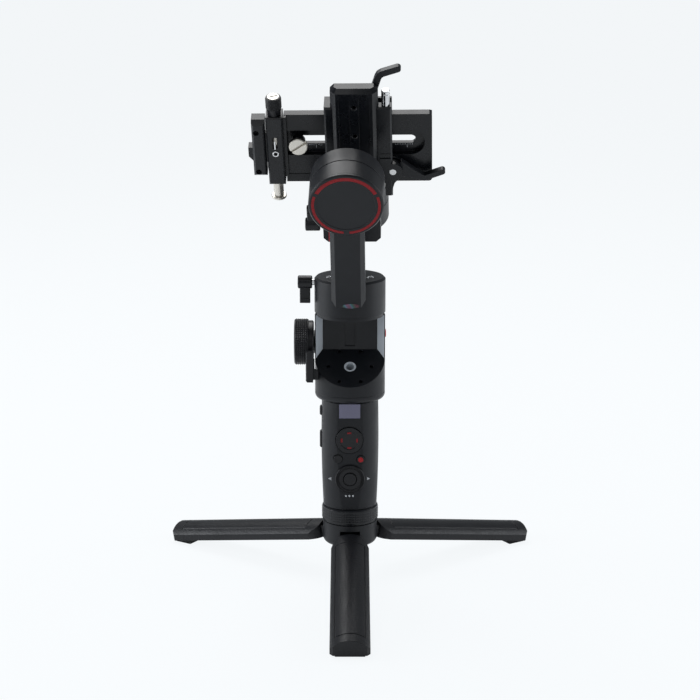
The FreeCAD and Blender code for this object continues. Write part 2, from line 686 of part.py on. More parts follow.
INSERT_CENTRE = vec(0, FACE_LOW[0] + (INSERT_HEIGHT - FACE_LOW[1]) / math.tan(math.radians(FACE_SLOPE)),
                    INSERT_HEIGHT)


def body_prism(inset, low, high):
    """The body's outline, round at the back and oval in front."""
    half = BODY_RADIUS - inset
    back = Part.Arc(vec(half, 0, low), vec(0, half, low), vec(-half, 0, low)).toShape()
    oval = Part.Ellipse(vec(0, 0, low), half, BODY_FRONT - inset)
    front = Part.ArcOfEllipse(oval, math.pi, 2 * math.pi).toShape()
    return Part.Face(Part.Wire([back, front])).extrude(vec(0, 0, high - low))


def handle_collar():
    """Rounded step between the grip and the body."""
    collar = body_prism(0, HANDLE_TOP, BODY_BOTTOM)
    collar = collar.makeFillet(COLLAR_ROUND, end_edges(collar, "Z", HANDLE_TOP))
    return less(collar, post(WIRE_BORE + 2, HANDLE_TOP, BODY_BOTTOM))


def above_face(offset, back, top):
    """Everything in front of an upright plane and above the sloping face."""
    drop = offset / math.cos(math.radians(FACE_SLOPE))
    outline = [(-REACH, face_height(-REACH) - drop), (back, face_height(back) - drop),
               (back, top), (-REACH, top)]
    return prism(outline, "X", -REACH, REACH)


def recess():
    """The open space over the accessory face, with splayed side wings."""
    plan = RECESS_PLAN + tuple((-x, y) for x, y in reversed(RECESS_PLAN))
    return prism(plan, "Z", BODY_BOTTOM, BODY_TOP).common(above_face(0, RECESS_BACK, BODY_TOP))


def on_face(angle):
    """Point of the accessory face on the circle of holes."""
    turn = math.radians(angle)
    across_face = vec(0, FACE_NORMAL.z, -FACE_NORMAL.y)
    offset = vec(math.cos(turn)) + across_face * math.sin(turn)
    return INSERT_CENTRE + offset * HOLE_CIRCLE


def zoom_ear():
    """Ear on the left of the body with the axle of the zoom rocker."""
    z = ZOOM_AXIS[1]
    back = ZOOM_DEPTH[1] + CLEAR
    outline = [(-32.5, z - 12), (-23, z - 12), (-23, z - 4.9), (-27.2, z - 3.6),
               (-27.2, z + 4.5), (-32.5, z + 4.5)]
    axle = inward(ZOOM_AXLE, ZOOM_AXIS, (ZOOM_DEPTH[0] + ZOOM_SKIN + CLEAR, back + 1))
    return joined(prism(outline, "Y", back, back + ZOOM_EAR), axle)


def body_housing():
    """Hollow body with the accessory face, wheel boss, rocker bracket and slots."""
    outer = joined(body_prism(0, BODY_BOTTOM, BODY_TOP),
                   post(TOP_PLATE_RADIUS, BODY_TOP, BODY_TOP + TOP_PLATE))
    boss = across(WHEEL_BOSS, (WHEEL_IN + CLEAR, -BODY_RADIUS + 5), *WHEEL_AXIS)
    cavity = body_prism(BODY_WALL, BODY_BOTTOM + BODY_FLOOR, BODY_TOP)
    cavity = cavity.cut(above_face(FACE_WALL, RECESS_BACK + BODY_WALL, BODY_TOP + 1))
    keep = post(INSERT_SLEEVE + 2, -INSERT_LENGTH - 2, 0)
    keep = placed(keep, frame(INSERT_CENTRE, "X", FACE_SLOPE))
    shell = less(joined(outer, boss), recess(), cavity.cut(keep))
    shell = joined(shell, across(WHEEL_AXLE, (WHEEL_OUT + 3, -BODY_RADIUS + 1), *WHEEL_AXIS), zoom_ear())
    seat = placed(joined(post(INSERT_FLANGE, -1, 1), post(INSERT_SLEEVE, -INSERT_LENGTH, 0)),
                  frame(INSERT_CENTRE, "X", FACE_SLOPE))
    holes = [rod(HOLE_RADIUS, on_face(angle) + FACE_NORMAL, on_face(angle) - FACE_NORMAL * HOLE_DEPTH)
             for angle in range(0, 360, 60)]
    half = GUIDE_WIDTH / 2
    guide = block((-half, half), (RECESS_BACK - 1, RECESS_BACK + GUIDE_SINK),
                  (face_height(RECESS_BACK) + GUIDE_INSET, BODY_TOP - GUIDE_INSET))
    window = block((10, REACH), (SLIDER_DEPTH[0] - FACE_GAP, SLIDER_DEPTH[1] + FACE_GAP),
                   (SLIDER_FOOT - FACE_GAP, SLIDER_FOOT + SLIDER_HEIGHT + SLIDER_TRAVEL + FACE_GAP))
    wires = joined(post(WIRE_BORE, BODY_BOTTOM, BODY_BOTTOM + BODY_FLOOR),
                   post(WIRE_BORE - 1, BODY_TOP, BODY_TOP + TOP_PLATE, 0, RECESS_BACK + 8))
    seam = ring(BODY_RADIUS + 2, BODY_RADIUS - 0.5, BODY_BOTTOM, BODY_BOTTOM + 0.5)
    return less(shell, seat, guide, window, wires, seam, *holes)


def mount_insert():
    """Steel thread insert of the accessory face."""
    insert = joined(post(INSERT_FLANGE, -1, 0), post(INSERT_SLEEVE, -INSERT_LENGTH, 0))
    insert = less(insert, post(THREAD_BORE, -INSERT_LENGTH, 0))
    return placed(insert, frame(INSERT_CENTRE, "X", FACE_SLOPE))


def focus_wheel():
    """Knurled wheel with a smooth flange, blind bore on the body's axle."""
    grip_end = WHEEL_OUT + WHEEL_WIDTH
    rim = across(WHEEL_RADIUS, (WHEEL_OUT, grip_end), *WHEEL_AXIS)
    rim = rim.makeChamfer(0.8, end_edges(rim, "X", WHEEL_OUT) + end_edges(rim, "X", grip_end))
    dish = across(WHEEL_RADIUS - 4, (WHEEL_OUT, WHEEL_OUT + 1), *WHEEL_AXIS)
    flange = across(WHEEL_FLANGE, (grip_end, WHEEL_IN), *WHEEL_AXIS)
    bore = across(WHEEL_AXLE + RUNNING, (WHEEL_OUT + 3 - CLEAR, WHEEL_IN), *WHEEL_AXIS)
    return less(joined(rim, flange), dish, bore)


def zoom_rocker():
    """Ridged rocker that turns on the axle of the body's ear."""
    z = ZOOM_AXIS[1]
    half = ZOOM_HEIGHT / 2
    plate = block(ZOOM_PLATE, ZOOM_DEPTH, (z - half, z + half))
    plate = plate.makeChamfer(1.0, end_edges(plate, "X", ZOOM_PLATE[0]))
    grooves = [rod(0.6, vec(ZOOM_PLATE[0], ZOOM_DEPTH[0], z + offset),
                   vec(ZOOM_PLATE[0], ZOOM_DEPTH[1], z + offset)) for offset in (-9, -6.5, -4, 4, 6.5, 9)]
    bore = inward(ZOOM_AXLE + RUNNING, ZOOM_AXIS, (ZOOM_DEPTH[0] + ZOOM_SKIN, ZOOM_DEPTH[1]))
    return less(plate, bore, *grooves)


def lock_slider():
    """Slide button in the body's right side, with a flange inside the wall."""
    top = SLIDER_FOOT + SLIDER_HEIGHT
    inside = math.sqrt((BODY_RADIUS - BODY_WALL) ** 2 - (SLIDER_DEPTH[1] + 1) ** 2) - 0.2
    neck = block((inside - 1, SLIDER_OUT), SLIDER_DEPTH, (SLIDER_FOOT, top))
    neck = neck.makeChamfer(0.8, end_edges(neck, "X", SLIDER_OUT))
    flange = block((inside - 2, inside), (SLIDER_DEPTH[0] - 0.1, SLIDER_DEPTH[1] + 1),
                   (SLIDER_FOOT - 1.5, top + 1.5))
    return joined(neck, flange)


# ================================================================== motors
# A motor is drawn along Z with its seam at 0: the fixed half above, the rotor below.
CUP_TOP = MOTOR_FIXED - COVER - 0.1


def motor_can():
    """Outside of the fixed half, before it is hollowed."""
    return post(MOTOR_RADIUS, SEAM, CUP_TOP)


def motor_hollow():
    """The space inside the fixed half."""
    return post(MOTOR_RADIUS - CUP_WALL, -SEAM, CUP_TOP - WEB)


def motor_stator():
    """Ring of windings on the web of the cup."""
    return ring(STATOR, BEARING_SEAT, STATOR_FOOT, CUP_TOP - WEB)


def motor_bearings():
    """Two ball bearings on the shaft, drawn as plain rings."""
    web = CUP_TOP - WEB
    upper = ring(BEARING_SEAT, SHAFT + RUNNING, web - BEARING_HIGH[0], web - BEARING_HIGH[1])
    lower = ring(BEARING_SEAT, SHAFT + RUNNING, *BEARING_LOW)
    return Part.makeCompound([upper, lower])


def accent_arcs(grow):
    """Three inlaid arcs of the cover's ring."""
    low, high = MOTOR_FIXED - ACCENT_DEPTH, MOTOR_FIXED + grow
    arcs = []
    for start, sweep, width in ACCENT_ARCS:
        inner = ACCENT_OUTER - width
        corners = [vec(radius, 0, height) for radius, height in
                   ((inner, low), (ACCENT_OUTER, low), (ACCENT_OUTER, high), (inner, high))]
        profile = Part.Face(Part.makePolygon(corners + [corners[0]]))
        arcs.append(placed(profile.revolve(vec(), AXES["Z"], sweep), frame(vec(), "Z", start)))
    return arcs


def motor_cover(with_accent):
    """Cap of the fixed half, with a bevelled rim and a sunk centre."""
    cover = post(MOTOR_RADIUS, CUP_TOP, MOTOR_FIXED)
    cover = cover.makeChamfer(COVER_BEVEL, end_edges(cover, "Z", MOTOR_FIXED))
    cover = less(cover, post(ACCENT_OUTER - ACCENT_WIDE - COVER_RIM, MOTOR_FIXED - COVER_SINK, MOTOR_FIXED))
    if with_accent:
        cover = less(cover, *accent_arcs(1.0))
    return cover


def motor_rotor():
    """Turning half: disc, shaft through the bearings and the magnet bell."""
    disc = post(MOTOR_RADIUS, -MOTOR_TURNING, -SEAM)
    disc = disc.makeChamfer(0.6, end_edges(disc, "Z", -MOTOR_TURNING))
    shaft = post(SHAFT, -SEAM - 1, CUP_TOP - WEB - 0.3)
    bell_outer = STATOR + BELL_GAP + BELL
    bell = ring(bell_outer, bell_outer - BELL, -SEAM - 1, CUP_TOP - WEB - 1.5)
    return joined(disc, shaft, bell)


# ================================================================== pan
def pan_stator():
    """Fixed half of the pan motor on the body's top plate."""
    base = BODY_TOP + TOP_PLATE
    windings = ring(MOTOR_RADIUS - CUP_WALL - BELL_GAP, BEARING_SEAT, base + 2, base + 2 + PAN_STATOR)
    pedestal = ring(BEARING_SEAT + 3, BEARING_SEAT - 1.5, base, base + 2)
    return joined(windings, pedestal)


def pan_bearings():
    """Two bearings inside the pan stator."""
    base = BODY_TOP + TOP_PLATE + 2
    rings = [ring(BEARING_SEAT, SHAFT + RUNNING, base + low, base + low + 3.5) for low in (0.5, 5.0)]
    return Part.makeCompound(rings)


def pan_rotor_housing():
    """Turning drum on top of the body, with the channel of the pan arm's bar."""
    drum = post(MOTOR_RADIUS, PAN_SEAM, PAN_TOP)
    drum = drum.makeChamfer(PAN_RIM, end_edges(drum, "Z", PAN_TOP))
    drum = less(drum, post(MOTOR_RADIUS - CUP_WALL, PAN_SEAM, PAN_SEAM + PAN_CAVITY))
    half = PAN_BAR_HALF + SLIDE
    channel = block((-half, half), (-REACH, REACH),
                    (PAN_BAR_BOTTOM - FACE_GAP, PAN_BAR_BOTTOM + PAN_BAR_HEIGHT + FACE_GAP))
    shaft = post(SHAFT, PAN_SEAM + 1, PAN_SEAM + PAN_CAVITY)
    screw_hole = across(LEVER_SCREW + RUNNING, (-REACH, 0), 0, PAN_LEVER_HEIGHT)
    seats = [post(PAN_SCREW_RADIUS, PAN_TOP - PAN_SCREW_DEPTH, PAN_TOP, x, PAN_SCREW[1])
             for x in (-PAN_SCREW[0], PAN_SCREW[0])]
    return less(joined(drum, shaft), channel, screw_hole, *seats)


def pan_rotor_screws():
    """Two countersunk screws in the drum's top."""
    screws = []
    for x in (-PAN_SCREW[0], PAN_SCREW[0]):
        head = post(PAN_SCREW_RADIUS, PAN_TOP - PAN_SCREW_DEPTH, PAN_TOP + 0.3, x, PAN_SCREW[1])
        socket = post(PAN_SCREW_RADIUS / 2, PAN_TOP - 1, PAN_TOP + 0.3, x, PAN_SCREW[1])
        screws.append(head.cut(socket))
    return Part.makeCompound(screws)


def clamp_lever(seat, screw_end):
    """Wing lever on a screw along X, axis through the origin, wing down."""
    head = across(LEVER_HEAD, (seat - LEVER_HEAD_LENGTH, seat), 0, 0)
    head = head.makeFillet(1.0, end_edges(head, "X", seat - LEVER_HEAD_LENGTH) + end_edges(head, "X", seat))
    edge = seat - LEVER_WING_EDGE
    wing = block((edge, edge + LEVER_WING), (-2.5, 2.5), (-LEVER_REACH, 0))
    wing = wing.makeChamfer(0.7, along_edges(wing, "Z"))
    band = block((seat - REACH, seat + 1), (-3, 3), (-LEVER_REACH + 3.6, -LEVER_REACH + 4.2))
    band = band.cut(block((edge + 0.4, edge + LEVER_WING - 0.4), (-2.1, 2.1), (-REACH, 0)))
    return joined(head, less(wing, band), across(LEVER_SCREW, (seat - 1, screw_end), 0, 0))


def pan_clamp_lever():
    """Lever that locks the pan arm's bar."""
    lever = clamp_lever(-MOTOR_RADIUS - 1.7, -PAN_BAR_HALF - SLIDE - 0.2)
    return placed(lever, frame(vec(0, 0, PAN_LEVER_HEIGHT)))


def pan_arm():
    """Level bar and inclined upright, in one piece with the roll motor's cup."""
    front = ROLL_SEAM - ARM_FRONT_GAP
    back = front - ARM_THICKNESS
    section = [(ARM_HALF, front), (ARM_HALF, back + ARM_BEVEL), (ARM_FLAT, back)]
    section = section + [(-x, y) for x, y in reversed(section)]
    upright = prism(section, "Z", -PIVOT_HEIGHT / 2, -MOTOR_RADIUS + CUP_WALL)
    upright = placed(upright, INCLINE)
    standoff = -MOTOR_RADIUS - ARM_STANDOFF
    upright = upright.common(block((-REACH, REACH), (-2 * REACH, REACH), (ARM_FOOT, PIVOT_HEIGHT)))
    upright = upright.cut(block((-REACH, REACH), (standoff, REACH), (ARM_FOOT, PAN_TOP + 1)))
    for side in (-1, 1):
        corner = [(side * ARM_HALF, ARM_FOOT + ARM_CORNER[1]), (side * ARM_HALF, ARM_FOOT),
                  (side * (ARM_HALF - ARM_CORNER[0]), ARM_FOOT)]
        upright = upright.cut(prism(corner, "Y", -2 * REACH, standoff))
    bar = block((-PAN_BAR_HALF, PAN_BAR_HALF), (standoff - 4.5, PAN_BAR_REAR),
                (PAN_BAR_BOTTOM, PAN_BAR_BOTTOM + PAN_BAR_HEIGHT))
    can = placed(placed(motor_can(), ROLL_MOTOR), INCLINE)
    hollow = placed(placed(motor_hollow(), ROLL_MOTOR), INCLINE)
    return less(joined(upright, bar, can), hollow)


# ================================================================== roll
ROLL_BACK = ROLL_SEAM + MOTOR_TURNING
ROLL_BAR_FRONT = ROLL_BACK + ROLL_NECK + CLEAR
ROLL_BAR_BACK = ROLL_BAR_FRONT + ROLL_BAR
ROLL_BLOCK_BACK = ROLL_BAR_BACK + ROLL_BLOCK_WALL


def roll_clamp_block():
    """Plate on the roll rotor and the block that grips the roll arm's bar."""
    neck = block(ROLL_NECK_X, (ROLL_BACK, ROLL_BACK + ROLL_NECK), (ROLL_BLOCK_Z[1], ROLL_NECK_TOP))
    neck = neck.makeChamfer(4.0, [e for e in along_edges(neck, "Y") if e.CenterOfMass.z > 0])
    neck = neck.cut(post(LEVER_SWEEP, *LEVER_SWEEP_Z, 0, TILT_AXIS))
    grip_block = block(ROLL_BLOCK_X, (ROLL_BACK, ROLL_BLOCK_BACK), ROLL_BLOCK_Z)
    low_corners = [e for e in along_edges(grip_block, "Y") if e.CenterOfMass.z < ROLL_BLOCK_Z[0] + 1]
    grip_block = grip_block.makeChamfer(3.5, low_corners)
    channel = block((ROLL_BAR_X[0] - SLIDE, ROLL_BAR_X[1] + SLIDE),
                    (ROLL_BAR_FRONT - SLIDE, ROLL_BAR_BACK + SLIDE), (-REACH, REACH))
    screw_hole = across(LEVER_SCREW + RUNNING, (-REACH, 0), ROLL_BAR_FRONT + ROLL_BAR / 2, ROLL_LEVER_HEIGHT)
    return less(joined(neck, grip_block), channel, screw_hole)


def roll_clamp_lever():
    """Lever that locks the roll arm's bar, wing up."""
    lever = clamp_lever(ROLL_BLOCK_X[0] - 2.6, ROLL_BAR_X[0] - SLIDE - 0.2)
    return placed(lever, frame(vec(0, ROLL_BAR_FRONT + ROLL_BAR / 2, ROLL_LEVER_HEIGHT), "X", 180))


def roll_arm():
    """Bar and elbow, in one piece with the tilt motor's cup."""
    low = TILT_SEAM - MOTOR_FIXED
    web_top = TILT_SEAM - 2.6
    elbow = ROLL_BAR_BACK + ELBOW_REACH
    cup_front = TILT_AXIS - MOTOR_RADIUS + CUP_WALL - 1.5
    back = [(ROLL_BAR_BACK, ROLL_BAR_TOP), (ROLL_BAR_BACK, ROLL_BAR_END), (elbow, web_top),
            (cup_front, web_top)]
    under = [(cup_front, low), (elbow + ELBOW_HEEL, low), (elbow - 2, low + 5)]
    front = [(ROLL_BAR_FRONT + ELBOW_TOE, web_top + 4), (ROLL_BAR_FRONT, ROLL_BAR_END - 5),
             (ROLL_BAR_FRONT, ROLL_BAR_TOP)]
    bar = prism(back + under + front, "X", *ROLL_BAR_X)
    can = placed(motor_can(), TILT_MOTOR)
    room = placed(post(MOTOR_RADIUS + 1, CUP_TOP, MOTOR_FIXED + 1), TILT_MOTOR)
    return less(joined(bar, can), placed(motor_hollow(), TILT_MOTOR), room)


# ================================================================== tilt
TILT_TOP = TILT_SEAM + MOTOR_TURNING
TILT_BAR_TOP = TILT_BAR_BOTTOM + TILT_BAR
RAIL_BACK = RAIL_FRONT + RAIL_THICKNESS


def tilt_rotor_housing():
    """Tilt rotor with the channel of the tilt arm's bar and the knob's hole."""
    rotor = placed(motor_rotor(), TILT_MOTOR)
    half = TILT_BAR_HALF + SLIDE
    channel = block((-half, half), (-REACH, REACH + TILT_AXIS),
                    (TILT_BAR_BOTTOM - SLIDE, TILT_BAR_TOP + SLIDE))
    hole = post(LEVER_SCREW + RUNNING, TILT_BAR_TOP, TILT_TOP, 0, TILT_AXIS + TILT_KNOB_OFFSET)
    return less(rotor, channel, hole)


def tilt_clamp_knob():
    """Knurled knob that locks the tilt arm's bar."""
    y = TILT_AXIS + TILT_KNOB_OFFSET
    foot = TILT_TOP + CLEAR
    head = post(TILT_KNOB, foot, foot + TILT_KNOB_HEIGHT, 0, y)
    head = head.makeChamfer(0.8, end_edges(head, "Z", foot + TILT_KNOB_HEIGHT))
    return joined(head, post(LEVER_SCREW, TILT_BAR_TOP + CLEAR, foot, 0, y))


def rail_section(grow):
    """Plan of the dovetail rail, grown on every side but its open front."""
    wide = RAIL_HALF + grow
    narrow = RAIL_HALF - RAIL_BEVEL + grow
    bend = RAIL_FRONT + RAIL_BEVEL
    half = [(wide, RAIL_BACK + grow), (wide, bend - grow * 0.4), (narrow, RAIL_FRONT - grow * 0.4)]
    return [(RAIL_CENTRE + x, y) for x, y in half] + [(RAIL_CENTRE - x, y) for x, y in reversed(half)]


def tilt_arm():
    """Bar under the camera, riser and upright dovetail rail."""
    bar = block((-TILT_BAR_HALF, TILT_BAR_HALF), (RAIL_BACK - 1, TILT_BAR_REAR),
                (TILT_BAR_BOTTOM, TILT_BAR_TOP))
    riser = block((-TILT_BAR_HALF, TILT_BAR_HALF), (RAIL_FRONT, RAIL_BACK),
                  (TILT_BAR_BOTTOM, RAIL_BOTTOM + 1))
    rail = prism(rail_section(0), "Z", RAIL_BOTTOM, RAIL_TOP)
    top_corners = [e for e in end_edges(rail, "Z", RAIL_TOP) if e.CenterOfMass.y < RAIL_BACK - 0.1]
    rail = rail.makeChamfer(3.0, top_corners)
    offset, half, depth = RAIL_CHANNEL
    round_top = RAIL_TOP - RAIL_CHANNEL_TOP - half
    ys = (RAIL_FRONT - 1, RAIL_FRONT + depth)
    holes = []
    for x in (RAIL_CENTRE - offset, RAIL_CENTRE + offset):
        holes.append(block((x - half, x + half), ys, (RAIL_BOTTOM + 4, round_top)))
        holes.append(inward(half, (x, round_top), ys))
    for height in RAIL_HOLES:
        centre = (RAIL_CENTRE, height)
        holes.append(inward(1.5, centre, (RAIL_FRONT, RAIL_FRONT + 5)))
        holes.append(Part.makeCone(2.3, 1.5, 0.8, vec(centre[0], RAIL_FRONT, height), AXES["Y"]))
    return less(joined(bar, riser, rail), *holes)


# ================================================================== camera mount
def plate_section(grow):
    """Side view of the camera plate: bevelled rear edges and a lip at the front foot."""
    low, high = PLATE_Z[0] - grow, PLATE_Z[1] + grow
    front = PLATE_Y[0] - grow
    bend = PLATE_Y[1] - PLATE_BEVEL
    return [(front, STRIP_TOP), (front, high), (bend + grow, high), (PLATE_Y[1] + grow, high - PLATE_BEVEL),
            (PLATE_Y[1] + grow, low + PLATE_BEVEL), (bend + grow, low), (STRIP_FRONT - grow, low)]


def clamp_outline():
    """The clamp before it is cut: body, raised pad, lever boss and its web."""
    body = block(CLAMP_X, CLAMP_Y, CLAMP_Z)
    top_rear = [e for e in end_edges(body, "Y", CLAMP_Y[1]) if e.CenterOfMass.z > CLAMP_Z[1] - 1]
    body = body.makeChamfer(CLAMP_REAR_BEVEL, top_rear)
    body = body.makeChamfer(1.2, end_edges(body, "Y", CLAMP_Y[0]))
    pad_front = CLAMP_Y[0] - CLAMP_PAD
    pad = block(CLAMP_PAD_X, (pad_front, CLAMP_Y[0] + 2), (CLAMP_Z[0] + 1.2, CLAMP_PAD_TOP))
    boss = inward(PIVOT_BOSS_RADIUS, PIVOT_BOSS, (pad_front, PLATE_Y[0] - SLIDE))
    web = prism(BOSS_WEB, "Y", CLAMP_Y[0] + 0.5, PLATE_Y[0] - SLIDE)
    return joined(body, pad, boss, web)


def clamp_body():
    """Double clamp: its front grips the rail, its back grips the camera plate."""
    rail = prism(rail_section(SLIDE), "Z", -REACH, REACH)
    plate = prism(plate_section(SLIDE), "X", -REACH, REACH)
    leg_left = CLAMP_X[1] - CLAMP_LEG
    under_boss = block((RAIL_CENTRE, leg_left), (-REACH, 0), (-REACH, PLATE_Z[0] + 6))
    line = block((CLAMP_PAD_X[0], CLAMP_PAD_X[1]), (CLAMP_Y[0] - 1, CLAMP_Y[0] + 0.4),
                 (CLAMP_LINE - 0.2, CLAMP_LINE + 0.2))
    pin_hole = post(RIVET + RUNNING, SAFETY_SEAT - 11, SAFETY_SEAT, *SAFETY_PIN)
    top_slot = block((TOP_PIVOT[0] - TOP_LEVER_HUB - 0.5, REACH),
                     (TOP_LEVER_Y[0] - 1, TOP_LEVER_Y[1] + 0.2), (TOP_PIVOT[1] - TOP_LEVER_HUB - 1, REACH))
    top_hole = inward(RIVET, TOP_PIVOT, (TOP_LEVER_Y[1], CLAMP_Y[1] - 0.5))
    lever_room = (SIDE_LEVER_Y[0] - SLIDE, SIDE_LEVER_Y[1] + SLIDE)
    hub_room = inward(SIDE_LEVER_HUB + CLEAR, PIVOT_BOSS, lever_room)
    side_slot = block((SIDE_SLOT_X, REACH), lever_room, SIDE_SLOT_Z)
    face = CLAMP_Y[0] - CLAMP_PAD
    side_hole = inward(RIVET, PIVOT_BOSS, (face, SIDE_LEVER_Y[1] + 2))
    head_seat = inward(RIVET_HEAD, PIVOT_BOSS, (face, face + 1.2))
    solid = less(clamp_outline(), rail, plate, pin_hole, top_slot, line)
    return less(solid, under_boss, top_hole, hub_room, side_slot, side_hole, head_seat)


def lever_pins():
    """Rivets of the two clamp levers."""
    top = inward(RIVET, TOP_PIVOT, (TOP_LEVER_Y[0], CLAMP_Y[1] - 0.5))
    face = CLAMP_Y[0] - CLAMP_PAD
    side = joined(inward(RIVET_HEAD, PIVOT_BOSS, (face - 0.3, face + 1.2)),
                  inward(RIVET, PIVOT_BOSS, (face + 1.2, SIDE_LEVER_Y[1] + 2)))
    return Part.makeCompound([top, side])


def top_lever():
    """Bent cam lever over the clamp, on the upper rivet."""
    hub = inward(TOP_LEVER_HUB, TOP_PIVOT, TOP_LEVER_Y)
    arm = limb([TOP_PIVOT, *TOP_LEVER_PATH], TOP_LEVER_HALF, TOP_LEVER_Y)
    return less(joined(hub, arm), inward(RIVET + RUNNING, TOP_PIVOT, TOP_LEVER_Y))


def side_lever():
    """Cam lever at the clamp's lower right, with a web near its hub."""
    hub = inward(SIDE_LEVER_HUB, PIVOT_BOSS, SIDE_LEVER_Y)
    arm = limb(SIDE_LEVER_PATH, SIDE_LEVER_HALF, SIDE_LEVER_Y)
    web = prism(SIDE_LEVER_WEB, "Y", *SIDE_LEVER_Y)
    bore = inward(RIVET + RUNNING, PIVOT_BOSS, SIDE_LEVER_Y)
    return less(joined(hub, arm, web), bore)


def safety_pin():
    """Sprung pull pin that stops the plate from sliding out."""
    top = SAFETY_SEAT + SAFETY_LENGTH
    head = post(SAFETY_HEAD, SAFETY_SEAT, top, *SAFETY_PIN)
    head = head.makeFillet(0.6, end_edges(head, "Z", top))
    waist = ring(SAFETY_HEAD + 1, SAFETY_HEAD - 0.5, top - 3.2, top - 2.2, *SAFETY_PIN)
    return less(joined(head, post(RIVET, SAFETY_SEAT - 10, SAFETY_SEAT, *SAFETY_PIN)), waist)


def camera_plate():
    """Long quick-release plate with a screw slot in a racetrack recess."""
    plate = prism(plate_section(0), "X", *PLATE_X)
    corners = [e for e in along_edges(plate, "Y") if e.CenterOfMass.x > PLATE_X[1] - 1]
    plate = plate.makeFillet(2.5, corners)
    through = (PLATE_Y[0] - 1, PLATE_Y[1] + 1)
    window = slot(SLOT_HALF, SLOT_X, SLOT_HEIGHT, through)
    recess_ends = (PLATE_X[0] + 3, SLOT_X[1] - 0.7)
    pocket = slot(RECESS_RADIUS, recess_ends, SLOT_HEIGHT, (PLATE_Y[0] - 1, PLATE_Y[0] + RECESS_DEPTH))
    groove = block((-REACH, REACH), (PLATE_Y[0] - 1, PLATE_Y[0] + STRIP_GROOVE[1]),
                   (STRIP_TOP, STRIP_TOP + STRIP_GROOVE[0]))
    bores = [across(GUIDE_PIN + RUNNING, (PLATE_X[0], PLATE_X[0] + GUIDE_LENGTH + 1), GUIDE_DEPTH, height)
             for height in GUIDE_HEIGHTS]
    return less(plate, window, pocket, groove, *bores)


def camera_screw():
    """Slotted camera screw through the plate."""
    centre = (SCREW_X, SLOT_HEIGHT)
    head = inward(SCREW_HEAD, centre, SCREW_HEAD_Y)
    head = head.makeChamfer(0.6, end_edges(head, "Y", SCREW_HEAD_Y[0]))
    width, depth = SCREW_CUT
    cut = block((-SCREW_HEAD - 1, SCREW_HEAD + 1), (-1, depth), (-width / 2, width / 2))
    cut = placed(cut, frame(vec(SCREW_X, SCREW_HEAD_Y[0], SLOT_HEIGHT), "Y", SCREW_CUT_TURN))
    shank = inward(SCREW_SHANK, centre, (SCREW_HEAD_Y[1] - 0.5, PLATE_Y[1] + 0.5))
    thread = inward(THREAD_STUD, centre, (PLATE_Y[1], SCREW_TIP))
    return less(joined(head, shank, thread), cut)


def screw_collar():
    """Sliding bush that keeps the camera screw in the plate's recess."""
    centre = (SCREW_X, SLOT_HEIGHT)
    ys = (SCREW_HEAD_Y[1] + 0.2, PLATE_Y[0] + RECESS_DEPTH - 0.2)
    return less(inward(COLLAR_RADIUS, centre, ys), inward(SCREW_SHANK + RUNNING, centre, ys))


def lens_clamp():
    """Block and flange at the plate's left end, two guide pins and a small lock screw."""
    body = block(LENS_X, LENS_Y, LENS_Z)
    body = body.makeChamfer(1.0, end_edges(body, "Y", LENS_Y[0]))
    flange = block((LENS_X[1] - 1, LENS_FLANGE_X), (LENS_FLANGE_Y, PLATE_Y[0] - SLIDE), LENS_FLANGE_Z)
    pins = [across(GUIDE_PIN, (LENS_X[1] - GUIDE_SEAT, PLATE_X[0] + GUIDE_LENGTH), GUIDE_DEPTH, height)
            for height in GUIDE_HEIGHTS]
    bore = post(LENS_ROD + RUNNING, LENS_Z[0], LENS_Z[1], *LENS_ROD_AXIS)
    window = block((LENS_ROD_AXIS[0] - 2, LENS_ROD_AXIS[0] + 1.8), (LENS_Y[0] - 1, LENS_ROD_AXIS[1]),
                   LENS_WINDOW)
    groove = block((LENS_X[0] - 1, LENS_X[0] + 1.8), BLOCK_TONGUE_ROOM, (BLOCK_Z[0] + 4, BLOCK_Z[1] - 5))
    lock_centre = (LENS_ROD_AXIS[0], LENS_LOCK_Z)
    lock_y = (LENS_Y[0] - 0.4, LENS_Y[0] + 2.2)
    lock = inward(LENS_LOCK, lock_centre, lock_y).cut(inward(1.0, lock_centre, (lock_y[0], lock_y[0] + 1.2)))
    solid = less(joined(body, flange), bore, window, groove, inward(LENS_LOCK, lock_centre, lock_y), *pins)
    return Part.makeCompound([solid, lock, *pins])


BLOCK_TONGUE = (TONGUE_Y - TONGUE_HALF, TONGUE_Y + TONGUE_HALF)
BLOCK_TONGUE_ROOM = (BLOCK_TONGUE[0] - SLIDE, BLOCK_TONGUE[1] + SLIDE)


def lens_clamp_screw():
    """Long screw through the lens clamp, with a knob on a conical neck and a flange below."""
    low, high = LENS_KNOB_Z
    x, y = LENS_ROD_AXIS
    knob = post(LENS_KNOB, low + 2.5, high, x, y)
    knob = knob.makeChamfer(0.8, end_edges(knob, "Z", high))
    cone = Part.makeCone(LENS_NECK, LENS_KNOB, 2.5, vec(x, y, low), AXES["Z"])
    cut = block((-LENS_KNOB, LENS_KNOB), (-0.7, 0.7), (high - 1.2, high))
    cut = placed(cut, frame(vec(x, y, 0), "Z", 20))
    shaft = post(LENS_ROD, LENS_ROD_END, low, x, y)
    flange = post(LENS_ROD + 1.9, LENS_ROD_END, LENS_ROD_END + LENS_ROD_FLANGE, x, y)
    neck = post(LENS_NECK, LENS_Z[1] + CLEAR, low, x, y)
    return less(joined(knob, cone, shaft, flange, neck), cut)


